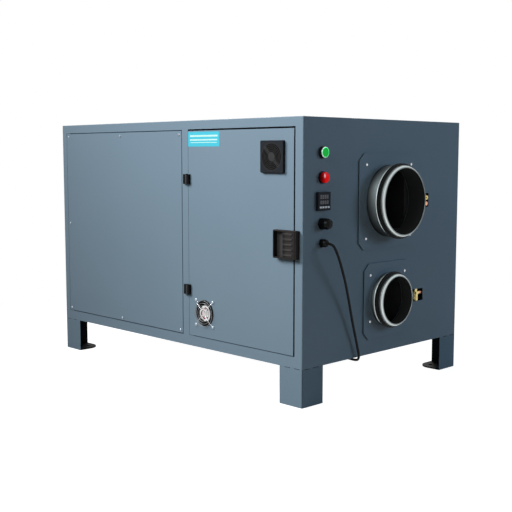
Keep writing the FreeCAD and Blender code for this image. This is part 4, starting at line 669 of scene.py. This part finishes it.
# ================================================================ power cord
cord_radius = 3.5
cord_route = [
    (567.5, -277.0, 427.0),
    (584.5, -277.0, 427.0),
    (592.0, -268.5, 406.0),
    (588.0, -247.0, 370.0),
    (580.5, -222.0, 328.0),
    (571.5, -195.5, 275.0),
    (563.5, -171.0, 216.0),
    (560.0, -149.5, 160.0),
    (558.5, -137.5, 126.0),
    (557.5, -131.0, 107.0),
    (551.0, -127.5, 94.5),
    (535.0, -124.5, 92.0),
    (512.0, -121.0, 92.3),
    (485.0, -117.0, 92.5),
    (450.0, -111.5, 92.5),
    (415.0, -106.0, 92.0),
    (383.0, -101.0, 81.5),
    (354.0, -96.0, 57.0),
    (326.0, -89.0, 28.0),
    (297.0, -76.5, 8.5),
    (266.0, -59.0, 3.8),
    (236.0, -42.0, 3.8),
]
coil_radii = (28.0, 49.0)
coil_lead = 48.0
plug_lead = 42.0
turns_per_layer = 3
points_per_turn = 16


def coil_points():
    """The put-away length: a spiral inwards on the floor, one turn that climbs, and a spiral back out."""
    end = Vector(cord_route[-1])
    heading = (end - Vector(cord_route[-2])).normalized()
    to_right = Vector((heading.y, -heading.x, 0.0))
    inner, outer = coil_radii
    centre = end + heading * coil_lead + to_right * outer
    steps = (2 * turns_per_layer + 1) * points_per_turn
    points = []
    for k in range(steps + 1):
        turn = k / points_per_turn
        if turn < turns_per_layer:
            radius = outer - (outer - inner) * turn / turns_per_layer
            layer = 0.0
        elif turn < turns_per_layer + 1:
            radius = inner
            layer = turn - turns_per_layer
        else:
            radius = inner + (outer - inner) * (turn - turns_per_layer - 1) / turns_per_layer
            layer = 1.0
        spoke = -to_right
        spoke.rotate(Euler((0, 0, -2 * math.pi * turn)))
        point = centre + spoke * radius
        points.append(Vector((point.x, point.y, end.z + layer * 2 * cord_radius)))
    points.append(points[-1] + heading * plug_lead)
    return points


def power_cord():
    """The cord as one smooth lead with its coil, in place of the solids that stand for it."""
    curve = round_curve("power_cord_sheath", cord_radius * MM, 4, black_cord)
    curve.resolution_u = 6
    points = cord_route + coil_points()
    spline = add_spline(curve, "NURBS", [place(*point) for point in points])
    spline.order_u = 3
    spline.use_endpoint_u = True
    piece = show("power_cord_sheath", curve)
    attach(piece, "cabinet")
    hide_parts("power_cord", "cord_coil")


power_cord()


# ================================================================ fan guard and fan label in the door
arm_wire = 1.7
ring_wire = 1.3
ring_radii = (9.0, 16.0, 23.0, 30.0, 37.0)
arm_bend = (38.0, 40.5, 43.0)
weld_squeeze = 0.9
eye_radius = 3.2
eye_gap = 0.1
fan_hole_pitch = 71.5
ring_sides, eye_sides = 48, 20


def circle(centre, right, up, radius, sides):
    """Points round a centre in the plane of two directions, and True for a closed line."""
    angles = [2 * math.pi * k / sides for k in range(sides)]
    return [centre + (right * math.cos(angle) + up * math.sin(angle)) * radius for angle in angles], True


def fan_guard():
    """Dull wire rings on four bright bent arms, each ending in an eye under a screw."""
    centre = middle("door_fan_guard")
    axis = Vector((centre.x, 0, centre.z))
    right, up, back = Vector((1, 0, 0)), Vector((0, 0, 1)), Vector((0, 1, 0))
    ring_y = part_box("door_fan_guard")[0].y + ring_wire / 2 * MM
    arm_y = ring_y + weld_squeeze * (ring_wire + arm_wire) / 2 * MM
    seat_y = front_y - arm_wire / 2 * MM
    hole = fan_hole_pitch / math.sqrt(2) * MM
    bend_start, bend_middle, bend_end = (reach * MM for reach in arm_bend)

    rings = [circle(axis + back * ring_y, right, up, radius * MM, ring_sides) for radius in ring_radii]
    arms = []
    for k in range(4):
        angle = math.radians(45 + 90 * k)
        out = right * math.cos(angle) + up * math.sin(angle)
        side = up * math.cos(angle) - right * math.sin(angle)
        path = [
            (ring_radii[0] * MM, arm_y), (bend_start, arm_y), (bend_middle, (arm_y + seat_y) / 2),
            (bend_end, seat_y), (hole - (eye_radius + eye_gap) * MM, seat_y),
        ]
        arms.append(([axis + out * reach + back * y for reach, y in path], False))
        arms.append(circle(axis + out * hole + back * seat_y, out, side, eye_radius * MM, eye_sides))
    dull = plated_wire("guard_ring_wire", (0.22, 0.225, 0.23), 0.30)
    for name, lines, wire, material in (
        ("door_fan_guard_rings", rings, ring_wire, dull),
        ("door_fan_guard_arms", arms, arm_wire, chrome_wire),
    ):
        curve = round_curve(name, wire / 2 * MM, 3, material)
        for points, closed in lines:
            add_spline(curve, "POLY", points).use_cyclic_u = closed
        piece = show(name, curve)
        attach(piece, "door")
        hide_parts("door_fan_guard")


fan_guard()


def fan_label():
    """A plain white disc on the fan's hub, with a few plain dark red arcs."""
    centre = middle("door_fan_impeller")
    hub_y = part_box("door_fan_frame")[0].y
    disc_radius, disc_lift, arc_lift = 22.5, 0.10, 0.16
    arc_radii = (13.0, 17.2)
    arc_spans = ((35, 100), (150, 205), (215, 268), (285, 318))
    steps = 12

    def disc(form):
        made = bmesh.ops.create_circle(form, cap_ends=True, radius=disc_radius * MM, segments=64)
        for vertex in made["verts"]:
            vertex.co = Vector((centre.x + vertex.co.x, hub_y - disc_lift * MM, centre.z + vertex.co.y))

    def arcs(form):
        for start, end in arc_spans:
            pairs = []
            for k in range(steps + 1):
                angle = math.radians(start + (end - start) * k / steps)
                pairs.append([
                    form.verts.new((
                        centre.x + radius * MM * math.cos(angle), hub_y - arc_lift * MM,
                        centre.z + radius * MM * math.sin(angle),
                    )) for radius in arc_radii
                ])
            for (inner, outer), (next_inner, next_outer) in zip(pairs, pairs[1:]):
                form.faces.new((inner, next_inner, next_outer, outer))

    add_mesh("hub_label", disc, sticker("hub_label_white", (0.93, 0.90, 0.89), 0.4), "door")
    add_mesh("hub_label_arcs", arcs, sticker("hub_label_red", (0.32, 0.02, 0.06), 0.4), "door")


fan_label()


# ================================================================ plain label on the door
door_face = -350.0
# Edges are left, right, low and high.
label_edges = (101.6, 233.7, 678.4, 719.6)
label_thickness = 0.25
stripe_edges = ((110.0, 227.0, 705.5, 710.5), (110.0, 225.0, 695.0, 699.0), (112.0, 224.0, 688.5, 690.5))
stripe_depths = (0.2, 0.35)


def door_label():
    """A turquoise sticker with plain pale stripes where a label sits on the door."""
    def sheet(form, edges, near, far):
        left, right, low, high = edges
        slab(form, place(left, door_face - far, low), place(right, door_face - near, high))

    def card(form):
        sheet(form, label_edges, 0.0, label_thickness)

    def stripes(form):
        for edges in stripe_edges:
            sheet(form, edges, *stripe_depths)

    turquoise = sticker("door_label_turquoise", (0.060, 0.47, 0.60), 0.6)
    pale = sticker("door_label_stripes", (0.50, 0.74, 0.68), 0.6)
    add_mesh("door_label", card, turquoise, "door")
    add_mesh("door_label_stripes", stripes, pale, "door")


door_label()


# ================================================================ controller displays
# Rows are the low and high edge of each window, about the middle of the controller.
display_rows = ((5.5, 17.5), (-8.0, 2.5))
display_half_width = 17.8
display_depth = 0.8
pane_thickness = 0.25
pane_margin = 0.2
digits_per_row = 4
first_digit = -15.2
digit_pitch = 8.4
digit_width = 5.0
digit_margin = 1.5
digit_depths = (0.2, 0.32)
bar = 1.0
bar_gap = 0.3


def digit_bars(tall):
    """The seven bars of a digit of a given height, as left, right, low and high."""
    half = tall / 2
    bars = [(0, digit_width, level, level + bar) for level in (0, half - bar / 2, tall - bar)]
    for side in (0, digit_width - bar):
        bars.append((side, side + bar, bar + bar_gap, half - bar / 2 - bar_gap))
        bars.append((side, side + bar, half + bar / 2 + bar_gap, tall - bar - bar_gap))
    return bars


def controller_displays():
    """Unlit seven-segment digits on two smoked windows."""
    centre = middle("controller_case")
    face = Vector((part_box("controller_case")[1].x - display_depth * MM, centre.y, centre.z))

    def block(form, depths, sides, levels):
        """A slab by its depths in front of the display's face, and its sides and levels about the middle."""
        low, high = zip(depths, sides, levels)
        slab(form, face + Vector(low) * MM, face + Vector(high) * MM)

    def panes(form):
        sides = (-display_half_width, display_half_width)
        for low, high in display_rows:
            block(form, (0, pane_thickness), sides, (low + pane_margin, high - pane_margin))

    def digits(form):
        for low, high in display_rows:
            for k in range(digits_per_row):
                y = first_digit + digit_pitch * k
                z = low + digit_margin
                for left, right, below, above in digit_bars(high - low - 2 * digit_margin):
                    block(form, digit_depths, (y + left, y + right), (z + below, z + above))

    add_mesh("display_panes", panes, sticker("display_glass", (0.050, 0.046, 0.052), 0.4), "cabinet")
    add_mesh("display_digits", digits, sticker("display_segments", (0.46, 0.43, 0.44), 0.5), "cabinet")


controller_displays()


# ================================================================ painted shade: dark strips in the seams at the legs
leg_top = 102.0
stretch_starts = (8.1, 42.1)
stretch_length = 20.8
shade_strip_setback = (1.2, 3.6)
shade_strip_height = 1.3
shade_strip_gap = 0.02


def leg_seams():
    """Dark strips as painted shade, set back in the open stretches between the stitch welds at the top of
    each leg.
    """
    near, far = shade_strip_setback
    corner_x, corner_y = end_x / MM, (mid_y - front_y) / MM
    bottom, top = leg_top - shade_strip_height, leg_top - shade_strip_gap

    def strips(form):
        for side_x in (-1, 1):
            for side_y in (-1, 1):
                for start in stretch_starts:
                    end = start + stretch_length
                    for first, second in (((start, near), (end, far)), ((near, start), (far, end))):
                        ends = [
                            place(side_x * (corner_x - a), side_y * (corner_y - b), z)
                            for (a, b), z in ((first, bottom), (second, top))
                        ]
                        slab(form, [min(pair) for pair in zip(*ends)], [max(pair) for pair in zip(*ends)])

    add_mesh("leg_seam_shade_strips", strips, black_rubber, "cabinet")


leg_seams()


# ================================================================ stage and lights
def background_rays(tree):
    """One for the rays that show the plain background: camera, glossy and transmission rays."""
    rays = tree.add("LightPath").outputs
    return tree.either(rays["Is Camera Ray"], rays["Is Glossy Ray"], rays["Is Transmission Ray"])


def add_floor():
    """A white floor that keeps a faint shadow near the object, and is plain white farther out."""
    half = 14.0
    shadow_fades = (0.9, 1.5)
    corners = [(-half, -half, 0), (half, -half, 0), (half, half, 0), (-half, half, 0)]
    mesh = bpy.data.meshes.new("floor")
    mesh.from_pydata(corners, [], [(0, 1, 2, 3)])
    piece = show("floor", mesh)
    piece.location.z = -0.5 * MM
    material = bpy.data.materials.new("floor")
    tree = Tree(material)
    tree.nodes.clear()

    def diffuse(color):
        return tree.add("BsdfDiffuse", Color=color).outputs[0]

    def glow(strength):
        return tree.add("Emission", Strength=strength).outputs[0]

    def blended(factor, first, second):
        return tree.add("MixShader", factor, first, second).outputs[0]

    shadowed = tree.add("AddShader", diffuse((0.50, 0.50, 0.50)), glow(0.90)).outputs[0]
    spot = tree.add("TexCoord").outputs["Object"]
    reach = tree.add("VectorMath", spot, operation="LENGTH").outputs["Value"]
    shown = blended(tree.ramp(reach, 0.0, 1.0, shadow_fades), shadowed, glow(1.0))
    tree.add("OutputMaterial", blended(background_rays(tree), diffuse((0.28, 0.24, 0.20)), shown))
    mesh.materials.append(material)


add_floor()


def add_world():
    """A dim, slightly blue sky for the object, which shows as plain white."""
    sky = bpy.data.worlds.new("studio")
    bpy.context.scene.world = sky
    tree = Tree(sky)
    base = tree.nodes["Background"]
    tree.feed(base.inputs["Color"], (0.80, 0.90, 1.0))
    tree.feed(base.inputs["Strength"], 0.09)
    white = tree.add("Background", (1.0, 1.0, 1.0), 1.0)
    seen = tree.add("MixShader", background_rays(tree), base.outputs[0], white.outputs[0])
    tree.feed(tree.nodes["World Output"].inputs[0], seen.outputs[0])


add_world()


def area_light(name, spot, target, size, power, color=(1, 1, 1), spread=180):
    """A square lamp at a spot, aimed at a target; the spread of its beam is in degrees."""
    data = bpy.data.lights.new(name, "AREA")
    data.energy = power
    data.size = size
    data.color = color
    data.spread = math.radians(spread)
    lamp = show(name, data)
    lamp.location = spot
    lamp.rotation_euler = (Vector(target) - Vector(spot)).to_track_quat("-Z", "Y").to_euler()


area_light("key", (-1.11, -2.26, 2.27), (1.05, -0.35, 0.96), size=1.5, power=31, spread=82.4)
area_light("fill", (0.54, -2.0, 1.6), (0.50, -0.35, 0.60), size=0.9, power=18.5, color=(0.86, 0.96, 1.0))
area_light("side", (3.0, 1.9, 1.35), (0.55, 0.0, 0.40), size=1.2, power=24, color=(0.59, 0.80, 1.0))
area_light("back", (-2.2, 2.6, 2.2), (0.0, 0.2, 0.45), size=1.6, power=60)

bpy.context.scene.view_settings.view_transform = "Standard"
